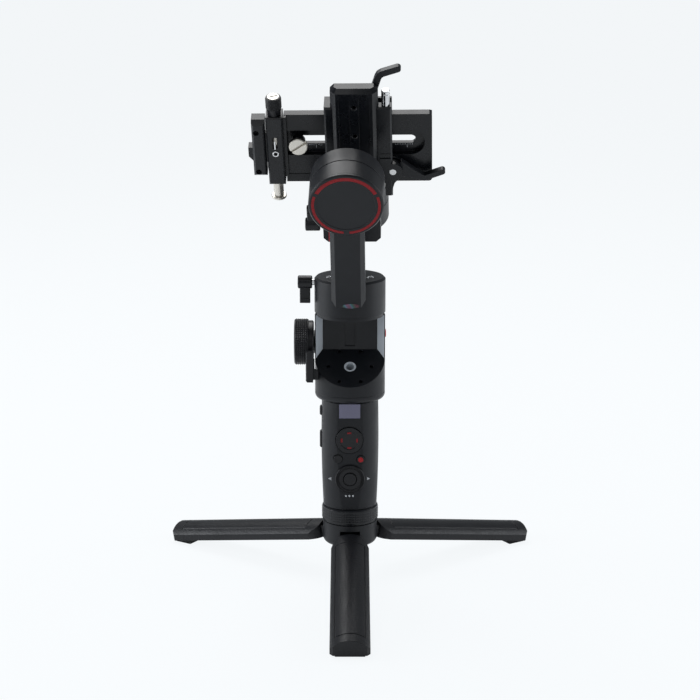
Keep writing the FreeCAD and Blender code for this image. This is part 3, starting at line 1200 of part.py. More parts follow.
def lens_support_block():
    """Outer block that slides on the lens clamp, with two counterbored holes."""
    body = block(BLOCK_X, BLOCK_Y, BLOCK_Z)
    front, top = BLOCK_Y[0], BLOCK_Z[1]
    body = body.makeChamfer(1.6, [e for e in end_edges(body, "Y", front) if e.CenterOfMass.z < top - 1])
    reach = BLOCK_TOP_BEVEL + 1
    bevel = prism([(front - 1, top - reach), (front - 1, top + 1), (front + reach, top + 1)],
                  "X", BLOCK_X[0] - 1, BLOCK_X[1] + 1)
    left = BLOCK_X[0] - BLOCK_NUB
    low, high = BLOCK_NUB_Z
    inside = BLOCK_X[0] + 1
    nub = prism([(left, low), (left, high), (inside, high), (inside, low - 5), (BLOCK_X[0], low - 4)],
                "Y", BLOCK_Y[0] + 2, BLOCK_Y[1] - 2)
    tongue = block((BLOCK_X[1], LENS_X[0] + 1.6), BLOCK_TONGUE, (BLOCK_Z[0] + 11, BLOCK_Z[1] - 12))
    holes = []
    for centre in BLOCK_HOLES:
        holes.append(inward(1.2, centre, (BLOCK_Y[0], BLOCK_Y[1])))
        holes.append(inward(2.2, centre, (BLOCK_Y[0], BLOCK_Y[0] + 2.5)))
    return less(joined(body, nub, tongue), bevel, *holes)


# ================================================================== output
def model():
    """Every piece in place, by node name."""
    nodes = {"tripod_hub": tripod_hub(), "leg_pins": leg_pins(), "tripod_lock_ring": tripod_lock_ring()}
    straight_leg = placed(leg(), LEG_FRAME)
    pad = foot_pad()
    for name, angle in LEG_ANGLES.items():
        nodes[name] = placed(straight_leg, frame(vec(), "Z", angle))
        nodes[name.replace("leg", "pad")] = placed(pad, frame(vec(), "Z", angle))
    for maker in (handle_base, handle_shell_front, handle_shell_rear, display_window, control_board,
                  battery_cells, pad_cross, direction_pad, control_dial, dial_button, handle_collar,
                  body_housing, mount_insert, focus_wheel, zoom_rocker, lock_slider, pan_stator,
                  pan_bearings):
        nodes[maker.__name__] = maker()
    nodes["left_button"] = push_button(LEFT_BUTTON, LEFT_BUTTON_RADIUS)
    nodes["record_button"] = push_button(RECORD_BUTTON, RECORD_BUTTON_RADIUS)
    for name, heights in KEYS.items():
        nodes[name] = side_key(*heights)
    for maker in (pan_rotor_housing, pan_rotor_screws, pan_clamp_lever, pan_arm):
        nodes[maker.__name__] = placed(maker(), YAW_FRAME)
    roll_motor = ARM_FRAME.multiply(ROLL_MOTOR)
    tilt_motor = ROLL_FRAME.multiply(TILT_MOTOR)
    nodes["roll_rotor_housing"] = placed(motor_rotor(), ROLL_FRAME.multiply(ROLL_MOTOR))
    nodes["roll_motor_cover"] = placed(motor_cover(True), roll_motor)
    nodes["roll_accent_ring"] = placed(Part.makeCompound(accent_arcs(0.0)), roll_motor)
    nodes["tilt_motor_cover"] = placed(motor_cover(False), tilt_motor)
    for axis, motor in (("roll", roll_motor), ("tilt", tilt_motor)):
        nodes[axis + "_stator"] = placed(motor_stator(), motor)
        nodes[axis + "_bearings"] = placed(motor_bearings(), motor)
    for maker in (roll_clamp_block, roll_clamp_lever, roll_arm, tilt_rotor_housing, tilt_clamp_knob,
                  tilt_arm, clamp_body, lever_pins, top_lever, side_lever, safety_pin, camera_plate,
                  camera_screw, screw_collar, lens_clamp, lens_clamp_screw, lens_support_block):
        nodes[maker.__name__] = placed(maker(), ROLL_FRAME)
    return nodes


def write(nodes):
    """Save each piece and report anything that is not sound."""
    os.makedirs("parts", exist_ok=True)
    for name, shape in nodes.items():
        if not shape.isValid() or not shape.Solids:
            print("unsound:", name)
        if len(shape.Solids) > 1 and not isinstance(shape, Part.Compound):
            print("loose pieces:", name)
        shape.exportStep("parts/" + name + ".step")
    print(len(nodes), "pieces")


write(model())
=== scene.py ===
"""Looks of a handheld three-axis camera gimbal that stands on its mini tripod.

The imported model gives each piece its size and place, in metres. Each sub-assembly
is a class that takes its CAD pieces, rounds their edges, gives them their finish
and adds the small parts that only the eye needs. The classes hold their sizes in
millimetres; angles are in degrees where nothing else is said.
"""

from __future__ import annotations

import json
import logging
import math
from dataclasses import dataclass
from enum import Enum
from typing import Callable, Sequence

import bpy
from mathutils import Matrix, Vector

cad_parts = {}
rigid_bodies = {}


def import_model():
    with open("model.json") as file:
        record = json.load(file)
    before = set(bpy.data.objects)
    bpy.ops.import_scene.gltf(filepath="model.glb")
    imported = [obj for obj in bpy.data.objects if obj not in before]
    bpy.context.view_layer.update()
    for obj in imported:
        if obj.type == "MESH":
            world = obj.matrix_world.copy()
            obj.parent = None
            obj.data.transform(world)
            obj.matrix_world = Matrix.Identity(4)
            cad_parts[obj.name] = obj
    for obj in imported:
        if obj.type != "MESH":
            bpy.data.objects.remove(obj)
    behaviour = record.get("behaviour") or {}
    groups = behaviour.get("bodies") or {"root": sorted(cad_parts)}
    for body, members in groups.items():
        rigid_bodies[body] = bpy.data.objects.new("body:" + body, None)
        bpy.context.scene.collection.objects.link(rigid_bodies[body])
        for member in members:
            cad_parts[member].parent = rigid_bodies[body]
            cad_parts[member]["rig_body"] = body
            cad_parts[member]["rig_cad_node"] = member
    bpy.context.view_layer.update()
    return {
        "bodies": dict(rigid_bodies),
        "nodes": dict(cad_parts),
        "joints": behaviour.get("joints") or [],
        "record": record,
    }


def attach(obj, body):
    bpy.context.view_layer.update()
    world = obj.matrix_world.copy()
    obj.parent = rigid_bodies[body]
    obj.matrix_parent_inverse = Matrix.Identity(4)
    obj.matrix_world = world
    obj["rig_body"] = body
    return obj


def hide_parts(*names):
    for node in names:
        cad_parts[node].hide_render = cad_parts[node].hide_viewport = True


log = logging.getLogger("gimbal")
Piece = bpy.types.Object
Point = tuple[float, float]
Place = tuple[float, float, float]

MM = 0.001
# Metres within which two points count as one.
NEAR = 1e-6
# Degrees: edges sharper than ROUND_FROM are rounded, gentler ones than SMOOTH_TO are
# shaded smooth, and the CAD's triangles are joined where they lie within FLAT_TO.
ROUND_FROM = 32.0
SMOOTH_TO = 38.0
FLAT_TO = 0.4
# Millimetres: size of the patches in which the roughness and the colour wander.
ROUGH_PATCH = 14.0
TINT_PATCH = 22.0
COAT_ROUGHNESS = 0.2
# Millimetres from the roll motor's seam, along its axis, to the origin of the head.
SEAM_TO_HEAD = 78.2


# ---------------------------------------------------------------- finishes
def linear(hex_colour: str) -> tuple[float, float, float, float]:
    """Turn an sRGB hex colour into a linear one.

    Args:
        hex_colour: Colour written as "#rrggbb".

    Returns:
        Linear red, green, blue and an alpha of 1.
    """
    values = [int(hex_colour[i:i + 2], 16) / 255 for i in (1, 3, 5)]
    red, green, blue = [v / 12.92 if v <= 0.04045 else ((v + 0.055) / 1.055) ** 2.4 for v in values]
    return red, green, blue, 1.0


def add_node(tree: bpy.types.NodeTree, kind: str, inputs: dict[str, object] | None = None,
             **settings: object) -> bpy.types.Node:
    """Add one node to a material.

    Args:
        tree: Node tree of the material.
        kind: Blender's name of the node type.
        inputs: Value or socket for each named input.
        settings: Properties of the node itself.

    Returns:
        The new node.
    """
    node = tree.nodes.new(kind)
    for key, value in settings.items():
        setattr(node, key, value)
    for key, value in (inputs or {}).items():
        if isinstance(value, bpy.types.NodeSocket):
            tree.links.new(value, node.inputs[key])
        else:
            node.inputs[key].default_value = value
    return node


@dataclass(frozen=True)
class Finish:
    """A real surface: what it is made of and how its skin was made.

    Attributes:
        name: Material name.
        colour: Base colour, sRGB hex.
        worn: Colour that the base drifts to in places, sRGB hex.
        roughness: Mean roughness.
        metallic: 1 for bare metal, 0 for plastic or an oxide skin.
        grain: Size of the skin's grain in millimetres.
        relief: Depth of the grain in millimetres.
        mottle: How far the roughness wanders from its mean.
        coat: Weight of a clear layer on top.
        edge: Radius in millimetres by which corners catch the light.
        shine: Specular level; a dyed or etched skin reflects less than a smooth one.
    """

    name: str
    colour: str
    worn: str
    roughness: float
    metallic: float = 0.0
    grain: float = 0.6
    relief: float = 0.01
    mottle: float = 0.06
    coat: float = 0.0
    edge: float = 0.25
    shine: float = 0.5

    def material(self) -> bpy.types.Material:
        """Build the material, or find it where it was built before.

        Returns:
            The material of this finish.
        """
        known = bpy.data.materials.get(self.name)
        if known:
            return known
        made = bpy.data.materials.new(self.name)
        made.use_nodes = True
        tree = made.node_tree
        shader = tree.nodes["Principled BSDF"]
        shader.inputs["Metallic"].default_value = self.metallic
        shader.inputs["Specular IOR Level"].default_value = self.shine
        shader.inputs["Coat Weight"].default_value = self.coat
        shader.inputs["Coat Roughness"].default_value = COAT_ROUGHNESS
        place = add_node(tree, "ShaderNodeTexCoord").outputs["Object"]
        tree.links.new(self.tint(tree, place), shader.inputs["Base Color"])
        wander = add_node(tree, "ShaderNodeTexNoise", {
            "Vector": place, "Scale": 1 / (ROUGH_PATCH * MM), "Detail": 3.0})
        rough = add_node(tree, "ShaderNodeMapRange", {
            "Value": wander.outputs["Fac"], "From Min": 0.3, "From Max": 0.7,
            "To Min": self.roughness - self.mottle, "To Max": self.roughness + self.mottle})
        tree.links.new(rough.outputs["Result"], shader.inputs["Roughness"])
        soft = add_node(tree, "ShaderNodeBevel", {"Radius": self.edge * MM}, samples=4)
        bump = add_node(tree, "ShaderNodeBump", {
            "Height": self.skin(tree, place), "Distance": self.relief * MM, "Strength": 1.0,
            "Normal": soft.outputs["Normal"]})
        tree.links.new(bump.outputs["Normal"], shader.inputs["Normal"])
        return made

    def tint(self, tree: bpy.types.NodeTree, place: bpy.types.NodeSocket) -> bpy.types.NodeSocket:
        """Let the colour drift slowly between the base and the worn shade.

        Args:
            tree: Node tree of the material.
            place: Object coordinates.

        Returns:
            The colour.
        """
        drift = add_node(tree, "ShaderNodeTexNoise", {
            "Vector": place, "Scale": 1 / (TINT_PATCH * MM), "Detail": 4.0})
        blend = add_node(tree, "ShaderNodeMix", {"Factor": drift.outputs["Fac"]}, data_type="RGBA")
        blend.inputs[6].default_value = linear(self.colour)
        blend.inputs[7].default_value = linear(self.worn)
        return blend.outputs[2]

    def skin(self, tree: bpy.types.NodeTree, place: bpy.types.NodeSocket) -> bpy.types.NodeSocket:
        """Make the fine grain."""
        grain = add_node(tree, "ShaderNodeTexNoise", {
            "Vector": place, "Scale": 1 / (self.grain * MM), "Detail": 2.0, "Roughness": 0.6})
        return grain.outputs["Fac"]


@dataclass(frozen=True)
class BrushedSteel(Finish):
    """Turned or ground metal: its fine tool marks show as streaks."""

    def skin(self, tree: bpy.types.NodeTree, place: bpy.types.NodeSocket) -> bpy.types.NodeSocket:
        """Draw the grain out into marks.

        Args:
            tree: Node tree of the material.
            place: Object coordinates.

        Returns:
            Height of the marks.
        """
        drawn = add_node(tree, "ShaderNodeMapping", {"Vector": place, "Scale": (1.0, 1.0, 9.0)})
        marks = add_node(tree, "ShaderNodeTexNoise", {
            "Vector": drawn.outputs["Vector"], "Scale": 1 / (self.grain * MM), "Detail": 2.0})
        return marks.outputs["Fac"]


@dataclass(frozen=True)
class PebbledNylon(Finish):
    """Moulded nylon whose tool was etched with a small pebble pattern."""

    def skin(self, tree: bpy.types.NodeTree, place: bpy.types.NodeSocket) -> bpy.types.NodeSocket:
        """Make rounded pebbles."""
        cells = add_node(tree, "ShaderNodeTexVoronoi", {"Vector": place, "Scale": 1 / (self.grain * MM)},
                         feature="SMOOTH_F1")
        return cells.outputs["Distance"]


@dataclass(frozen=True)
class FoilLabel(Finish):
    """Thin diffraction foil that turns from pink through green to blue."""

    def tint(self, tree: bpy.types.NodeTree, place: bpy.types.NodeSocket) -> bpy.types.NodeSocket:
        """Lay colour bands across the label.

        Args:
            tree: Node tree of the material.
            place: Object coordinates.

        Returns:
            The colour.
        """
        spun = add_node(tree, "ShaderNodeMapping", {"Vector": place, "Rotation": (0.0, 0.4, 0.2)})
        bands = add_node(tree, "ShaderNodeTexWave", {
            "Vector": spun.outputs["Vector"], "Scale": 1 / (40 * MM), "Distortion": 3.0, "Detail": 2.0,
            "Phase Offset": 1.2})
        ramp = add_node(tree, "ShaderNodeValToRGB", {"Fac": bands.outputs["Fac"]})
        stops = (("#6d4550", 0.0), ("#55605a", 0.35), ("#4a6e68", 0.6), ("#5d7488", 0.8), ("#7a5568", 1.0))
        ramp.color_ramp.elements.remove(ramp.color_ramp.elements[1])
        ramp.color_ramp.elements[0].color = linear(stops[0][0])
        for colour, position in stops[1:]:
            ramp.color_ramp.elements.new(position).color = linear(colour)
        return ramp.outputs["Color"]


class Surface(Enum):
    """Every finish on the gimbal."""

    # Blasted, black anodised aluminium: dull black oxide, soft broad highlights.
    ANODISED = Finish("black_anodised_aluminium", "#121418", "#17191e", 0.38, grain=0.5, relief=0.006,
                      shine=0.3)
    # The same alloy machined after blasting: smoother, with tighter highlights.
    MACHINED = Finish("machined_black_alloy", "#0e1014", "#14161b", 0.28, grain=0.4, relief=0.003, shine=0.32)
    # Glass-filled nylon from an etched tool: matte, pebbled.
    NYLON = PebbledNylon("pebbled_black_nylon", "#131417", "#1b1c20", 0.40, grain=1.5, relief=0.13, edge=0.5,
                         shine=0.3)
    # ABS with soft-touch lacquer: even, matte, a little grey.
    SOFT_TOUCH = Finish("soft_touch_abs", "#121418", "#17191e", 0.44, grain=0.7, relief=0.008, shine=0.28)
    # Moulded keys: satin black.
    KEY = Finish("satin_black_abs", "#0d0e12", "#131419", 0.34, grain=0.5, relief=0.004, shine=0.32)
    # Filled rubber: dull and dark. Also the painted shade of the lens screw's slot.
    RUBBER = Finish("black_rubber_and_slot_shade", "#111113", "#191a1b", 0.78, grain=0.8, relief=0.02)
    # Polished stainless steel.
    POLISHED = BrushedSteel("polished_steel", "#d6d7d8", "#c6c7c9", 0.16, 1.0, grain=0.5, relief=0.002,
                            mottle=0.05)
    # Nickel plate on turned screws: warm and a little dull.
    NICKEL = BrushedSteel("warm_nickel_plate", "#dad6ce", "#c8c4bc", 0.34, 1.0, grain=0.5, relief=0.002)
    # Pale grey diffuse lacquer that paints highlight: on the body's side wings it stands for the light their
    # faces catch, and on the mount insert for the bright reflections of its pale metal.
    SILVER = Finish("silver_painted_highlight", "#c6ccd3", "#bcc3ca", 0.38, grain=0.4, relief=0.002)
    # Ground steel pins.
    GROUND = BrushedSteel("ground_steel", "#a9aaad", "#98999c", 0.32, 1.0, grain=0.4, relief=0.004)
    # Red translucent light guide, unlit: the roll motor's ring and the marks of the direction pad.
    RED_RING = Finish("dark_red_light_guide", "#920f19", "#7d0b14", 0.32, relief=0.003, shine=0.25)
    # Red anodised alloy of the lock slider, the lock mark and the record button's spot.
    RED_ALLOY = Finish("red_anodised_alloy", "#ab111b", "#940e17", 0.35, relief=0.004, shine=0.3)
    # Printed marks.
    PRINT = Finish("pale_grey_print", "#d2d4d8", "#c2c5c9", 0.6, relief=0.002)
    # Smoked acrylic over a resting display.
    SMOKED = Finish("smoked_lilac_acrylic", "#5d5b75", "#555370", 0.12, coat=0.6, relief=0.001, mottle=0.02)
    # Diffraction foil label.
    FOIL = FoilLabel("diffraction_foil", "#8a8a9a", "#8a8a9a", 0.22, 0.5, relief=0.002)
    # Varnished copper windings, seen only between the motor's halves.
    COPPER = Finish("varnished_copper", "#9a5a34", "#7c4526", 0.4, 0.7, grain=0.8, relief=0.05)
    # Board with solder mask.
    BOARD = Finish("green_solder_mask", "#174a2c", "#123c24", 0.4, relief=0.01)
    # Shrink sleeve of the cells.
    SLEEVE = Finish("blue_shrink_sleeve", "#24418c", "#1e3675", 0.3, coat=0.2, relief=0.004)


# ---------------------------------------------------------------- bench
def deselect() -> None:
    """Leave edit mode and clear the selection."""
    if bpy.context.mode != "OBJECT":
        bpy.ops.object.mode_set(mode="OBJECT")
    bpy.ops.object.select_all(action="DESELECT")


def activate(piece: Piece) -> None:
    """Select one piece alone and make it the active one.

    Args:
        piece: Piece to work on.
    """
    deselect()
    piece.select_set(True)
    bpy.context.view_layer.objects.active = piece


def edit_all(piece: Piece) -> None:
    """Enter edit mode on one piece with everything selected.

    Args:
        piece: Piece to work on.
    """
    activate(piece)
    bpy.ops.object.mode_set(mode="EDIT")
    bpy.ops.mesh.select_all(action="SELECT")


def pick_faces(piece: Piece, test: Callable[[bpy.types.MeshPolygon], bool]) -> None:
    """Select the faces that pass a test, from edit mode and back to it.

    Args:
        piece: Mesh that is being edited.
        test: Says whether one face is wanted.
    """
    bpy.ops.mesh.select_all(action="DESELECT")
    bpy.ops.mesh.select_mode(type="FACE")
    bpy.ops.object.mode_set(mode="OBJECT")
    for face in piece.data.polygons:
        face.select = test(face)
    bpy.ops.object.mode_set(mode="EDIT")


def pick_edges(piece: Piece, test: Callable[[Vector, Vector], bool]) -> None:
    """Select the edges whose two ends pass a test, from edit mode and back to it.

    Args:
        piece: Mesh that is being edited.
        test: Takes the edge's two ends.
    """
    bpy.ops.mesh.select_all(action="DESELECT")
    bpy.ops.mesh.select_mode(type="EDGE")
    bpy.ops.object.mode_set(mode="OBJECT")
    points = piece.data.vertices
    for edge in piece.data.edges:
        edge.select = test(points[edge.vertices[0]].co, points[edge.vertices[1]].co)
    bpy.ops.object.mode_set(mode="EDIT")


def round_edges(piece: Piece, width: float, steps: int = 2) -> None:
    """Round every sharp edge and even out the shading.

    Args:
        piece: Mesh to finish.
        width: Width of the round in metres, 0 for none.
        steps: Facets across the round.
    """
    activate(piece)
    if width > 0:
        bevel = piece.modifiers.new("round", "BEVEL")
        bevel.width = width
        bevel.segments = steps
        bevel.limit_method = "ANGLE"
        bevel.angle_limit = math.radians(ROUND_FROM)
        bevel.miter_outer = "MITER_ARC"
        bpy.ops.object.modifier_apply(modifier=bevel.name)
    bpy.ops.object.shade_smooth_by_angle(angle=math.radians(SMOOTH_TO))
    weigh = piece.modifiers.new("even", "WEIGHTED_NORMAL")
    weigh.keep_sharp = True
    bpy.ops.object.modifier_apply(modifier=weigh.name)


def turned(name: str, profile: Sequence[Point], sides: int, hollow: bool = False) -> Piece:
    """Make a closed turned piece along Z by extruding a circle up its profile.

    Args:
        name: Name of the piece.
        profile: Radius and height of each ring, from the lower end up.
        sides: Facets around.
        hollow: True for a ring, whose profile then closes on its first point.

    Returns:
        The new piece, upright at the origin.
    """
    deselect()
    radius, height = profile[0]
    bpy.ops.mesh.primitive_circle_add(vertices=sides, radius=radius, location=(0, 0, height),
                                      fill_type="NOTHING" if hollow else "NGON")
    piece = bpy.context.object
    piece.name = name
    bpy.ops.object.transform_apply(location=True, rotation=True, scale=True)
    bpy.ops.object.mode_set(mode="EDIT")
    bpy.ops.mesh.select_mode(type="VERT")
    bpy.ops.mesh.select_all(action="SELECT")
    rings = [*profile, profile[0]] if hollow else profile
    for (last, low), (new, high) in zip(rings, rings[1:]):
        bpy.ops.mesh.extrude_region_move(TRANSFORM_OT_translate={"value": (0, 0, high - low)})
        bpy.ops.transform.resize(value=(new / last, new / last, 1), center_override=(0, 0, high))
    bpy.ops.mesh.select_all(action="SELECT")
    bpy.ops.mesh.remove_doubles(threshold=NEAR)
    bpy.ops.mesh.normals_make_consistent(inside=False)
    bpy.ops.object.mode_set(mode="OBJECT")
    return piece


def upright(face: bpy.types.MeshPolygon) -> bool:
    """Tell whether a facet stands upright."""
    return abs(face.normal.z) < 0.01


def knurl(piece: Piece, low: float, high: float, rows: int, relief: float) -> None:
    """Press rows of small pyramids into an upright band of a turned piece.

    Args:
        piece: Turned piece along Z.
        low: Height where the band starts.
        high: Height where it ends.
        rows: Rows of pyramids.
        relief: Height of a pyramid, which stands out from the band.
    """
    edit_all(piece)
    pick_edges(piece, lambda a, b: abs(abs(a.z - b.z) - (high - low)) < NEAR and min(a.z, b.z) > low - NEAR)
    if rows > 1:
        bpy.ops.mesh.subdivide(number_cuts=rows - 1)
    pick_faces(piece, lambda f: low < f.center.z < high and upright(f))
    bpy.ops.mesh.poke(offset=relief, use_relative_offset=False)
    bpy.ops.object.mode_set(mode="OBJECT")


def flute(piece: Piece, band: Callable[[bpy.types.MeshPolygon], bool], depth: float) -> None:
    """Sink every second facet of one ring of a turned piece, for a ribbed grip.

    Args:
        piece: Turned piece along Z.
        band: Picks the facets of the ring.
        depth: Depth of a flute.
    """
    margin = 0.08 * MM
    step = 2 * math.pi / sum(band(face) for face in piece.data.polygons)
    edit_all(piece)
    pick_faces(piece, lambda f: band(f) and round(math.atan2(f.center.y, f.center.x) / step - 0.5) % 2 == 0)
    bpy.ops.mesh.inset(thickness=margin, depth=-depth, use_individual=True)
    bpy.ops.object.mode_set(mode="OBJECT")


def slab(name: str, outline: Sequence[Point], thickness: float) -> Piece:
    """Make a flat plate from an outline in X and Y, extruded up.

    Args:
        name: Name of the piece.
        outline: Corners of the outline in order.
        thickness: Height of the plate.

    Returns:
        The new piece, with its foot on the XY plane.
    """
    deselect()
    bpy.ops.mesh.primitive_circle_add(vertices=len(outline), radius=1.0, fill_type="NGON")
    piece = bpy.context.object
    piece.name = name
    for vertex, (x, y) in zip(piece.data.vertices, outline):
        vertex.co = (x, y, 0)
    edit_all(piece)
    bpy.ops.mesh.extrude_region_move(TRANSFORM_OT_translate={"value": (0, 0, thickness)})
    bpy.ops.mesh.select_all(action="SELECT")
    bpy.ops.mesh.normals_make_consistent(inside=False)
    bpy.ops.object.mode_set(mode="OBJECT")
    return piece


def oval(half_width: float, half_height: float, sides: int) -> list[Point]:
    """Points of an ellipse in order."""
    turns = [2 * math.pi * i / sides for i in range(sides)]
    return [(half_width * math.cos(t), half_height * math.sin(t)) for t in turns]


def sector(inner: float, outer: float, middle: float, half: float) -> list[Point]:
    """Points of a piece of a flat ring in order.

    Args:
        inner: Inner radius.
        outer: Outer radius.
        middle: Direction of its middle in degrees.
        half: Half of its sweep in degrees.

    Returns:
        The outline.
    """
    turns = [math.radians(middle + half * (i / 3 - 1)) for i in range(7)]
    rim = [(outer * math.cos(t), outer * math.sin(t)) for t in turns]
    return rim + [(inner * math.cos(t), inner * math.sin(t)) for t in reversed(turns)]


def metres(points: Sequence[Point]) -> list[Point]:
    """Turn points in millimetres into metres."""
    return [(first * MM, second * MM) for first, second in points]


def bar(half_width: float, low: float, high: float) -> list[Point]:
    """Corners of an upright bar across the middle, in order."""
    return [(-half_width, low), (half_width, low), (half_width, high), (-half_width, high)]


def frame_on(origin: Vector, x_axis: Vector, z_axis: Vector) -> Matrix:
    """Lay a piece's own X and Z along two directions.

    Args:
        origin: Where the piece's origin goes.
        x_axis: Direction of its X, as near as its Z lets it.
        z_axis: Direction of its Z.

    Returns:
        The piece's place.
    """
    z_way = z_axis.normalized()
    x_way = (x_axis - z_way * x_axis.dot(z_way)).normalized()
    y_way = z_way.cross(x_way)
    turn = Matrix((x_way, y_way, z_way)).transposed()
    return Matrix.Translation(origin) @ turn.to_4x4()


class Bench:
    """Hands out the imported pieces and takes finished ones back."""

    def __init__(self, frame: dict) -> None:
        """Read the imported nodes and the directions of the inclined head.
        """
        self.nodes: dict[str, Piece] = frame["nodes"]
        self.joints: dict[str, dict] = {joint["name"]: joint for joint in frame["joints"]}
        self.slots = {part["node"]: part["material_slot"] for part in frame["record"]["subparts"]}
        self.body_of = {node: piece["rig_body"] for node, piece in self.nodes.items()}
        roll_way = Vector(self.joints["roll_turn"]["axis"])
        tilt_way = Vector(self.joints["tilt_turn"]["axis"])
        origin = Vector(self.joints["roll_turn"]["pos_m"]) + roll_way * (SEAM_TO_HEAD * MM)
        self.head = frame_on(origin, roll_way.cross(tilt_way), tilt_way)

    def front_of_head(self, x: float, y: float, z: float) -> Matrix:
        """Place at a point of the inclined head in millimetres, facing its front."""
        turn = self.head.to_3x3()
        return frame_on(self.head @ (Vector((x, y, z)) * MM), turn.col[0], -turn.col[1])

    def refine(self, node: str, surface: Surface, width: float = 0.3, steps: int = 2) -> Piece:
        """Copy a CAD node, join its triangles, round its edges and put it in its place.

        Args:
            node: Name of the CAD node.
            surface: Finish of the piece.
            width: Width of the rounded edges in millimetres.
            steps: Facets across a rounded edge.

        Returns:
            The finished piece, which stands for the node.
        """
        activate(self.nodes[node])
        bpy.ops.object.duplicate()
        piece = bpy.context.object
        bpy.ops.object.parent_clear(type="CLEAR_KEEP_TRANSFORM")
        del piece["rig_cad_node"]
        piece.name = node + "_finished"
        bpy.ops.mesh.customdata_custom_splitnormals_clear()
        edit_all(piece)
        bpy.ops.mesh.remove_doubles(threshold=NEAR)
        bpy.ops.mesh.dissolve_limited(angle_limit=math.radians(FLAT_TO))
        bpy.ops.object.mode_set(mode="OBJECT")
        round_edges(piece, width * MM, steps)
        return self.mount(piece, surface, node, stands_for=True)

    def mount(self, piece: Piece, surface: Surface, node: str, stands_for: bool = False) -> Piece:
        """Give a piece its finish and let it ride with a node's body.

        Args:
            piece: Piece that is already in place.
            surface: Finish of the piece.
            node: CAD node whose body carries it.
            stands_for: True if the piece is shown in the node's stead.

        Returns:
            The same piece.
        """
        piece.data.materials.clear()
        piece.data.materials.append(surface.value.material())
        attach(piece, self.body_of[node])
        if stands_for:
            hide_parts(node)
        log.info("%s: %d faces", piece.name, len(piece.data.polygons))
        return piece

    def settle(self, piece: Piece, place: Matrix, surface: Surface, node: str, stands_for: bool = False,
               width: float = 0.0) -> Piece:
        """Move a piece's mesh to its place, finish it and mount it.

        Args:
            piece: Piece that stands at the origin.
            place: Where it goes.
            surface: Finish of the piece.
            node: CAD node whose body carries it.
            stands_for: True if the piece is shown in the node's stead.
            width: Width of its rounded edges in millimetres.

        Returns:
            The same piece.
        """
        piece.data.transform(place)
        round_edges(piece, width * MM)
        return self.mount(piece, surface, node, stands_for)


# ---------------------------------------------------------------- sub-assemblies
@dataclass
class MiniTripod:
    """Hub, three folding legs with rubber feet, and the ring that locks it to the grip."""

    leg_edge: float = 0.8
    hub_edge: float = 0.4
    ring_band: Point = (49.7, 59.5)
    ring_teeth: int = 70
    ring_rows: int = 5
    ring_relief: float = 0.5

    def build(self, bench: Bench) -> None:
        """Dress the tripod and make its lock ring.

        Args:
            bench: Gives and takes the pieces.
        """
        bench.refine("tripod_hub", Surface.ANODISED, width=self.hub_edge)
        bench.refine("leg_pins", Surface.GROUND, width=0.2)
        for side in ("front", "right", "left"):
            bench.refine("leg_" + side, Surface.NYLON, width=self.leg_edge)
            bench.refine("pad_" + side, Surface.RUBBER, width=0.5)
        self.ring(bench)

    def ring(self, bench: Bench) -> None:
        """Turn the lock ring with its spigot and stud, and press a fine knurl into it.

        Args:
            bench: Gives and takes the pieces.
        """
        low, high = self.ring_band
        foot, top = low - 1.6, high + 1.4
        profile = [(8.0, 42.0), (8.0, foot), (20.6, foot), (21.6, foot + 1.0), (21.6, low), (21.6, high),
                   (21.6, top - 1.0), (20.6, top), (3.1, top), (3.1, 67.6), (2.7, 68.0)]
        piece = turned("tripod_lock_ring_knurled", metres(profile), self.ring_teeth)
        knurl(piece, low * MM, high * MM, self.ring_rows, self.ring_relief * MM)
        bench.settle(piece, Matrix.Identity(4), Surface.MACHINED, "tripod_lock_ring", stands_for=True)


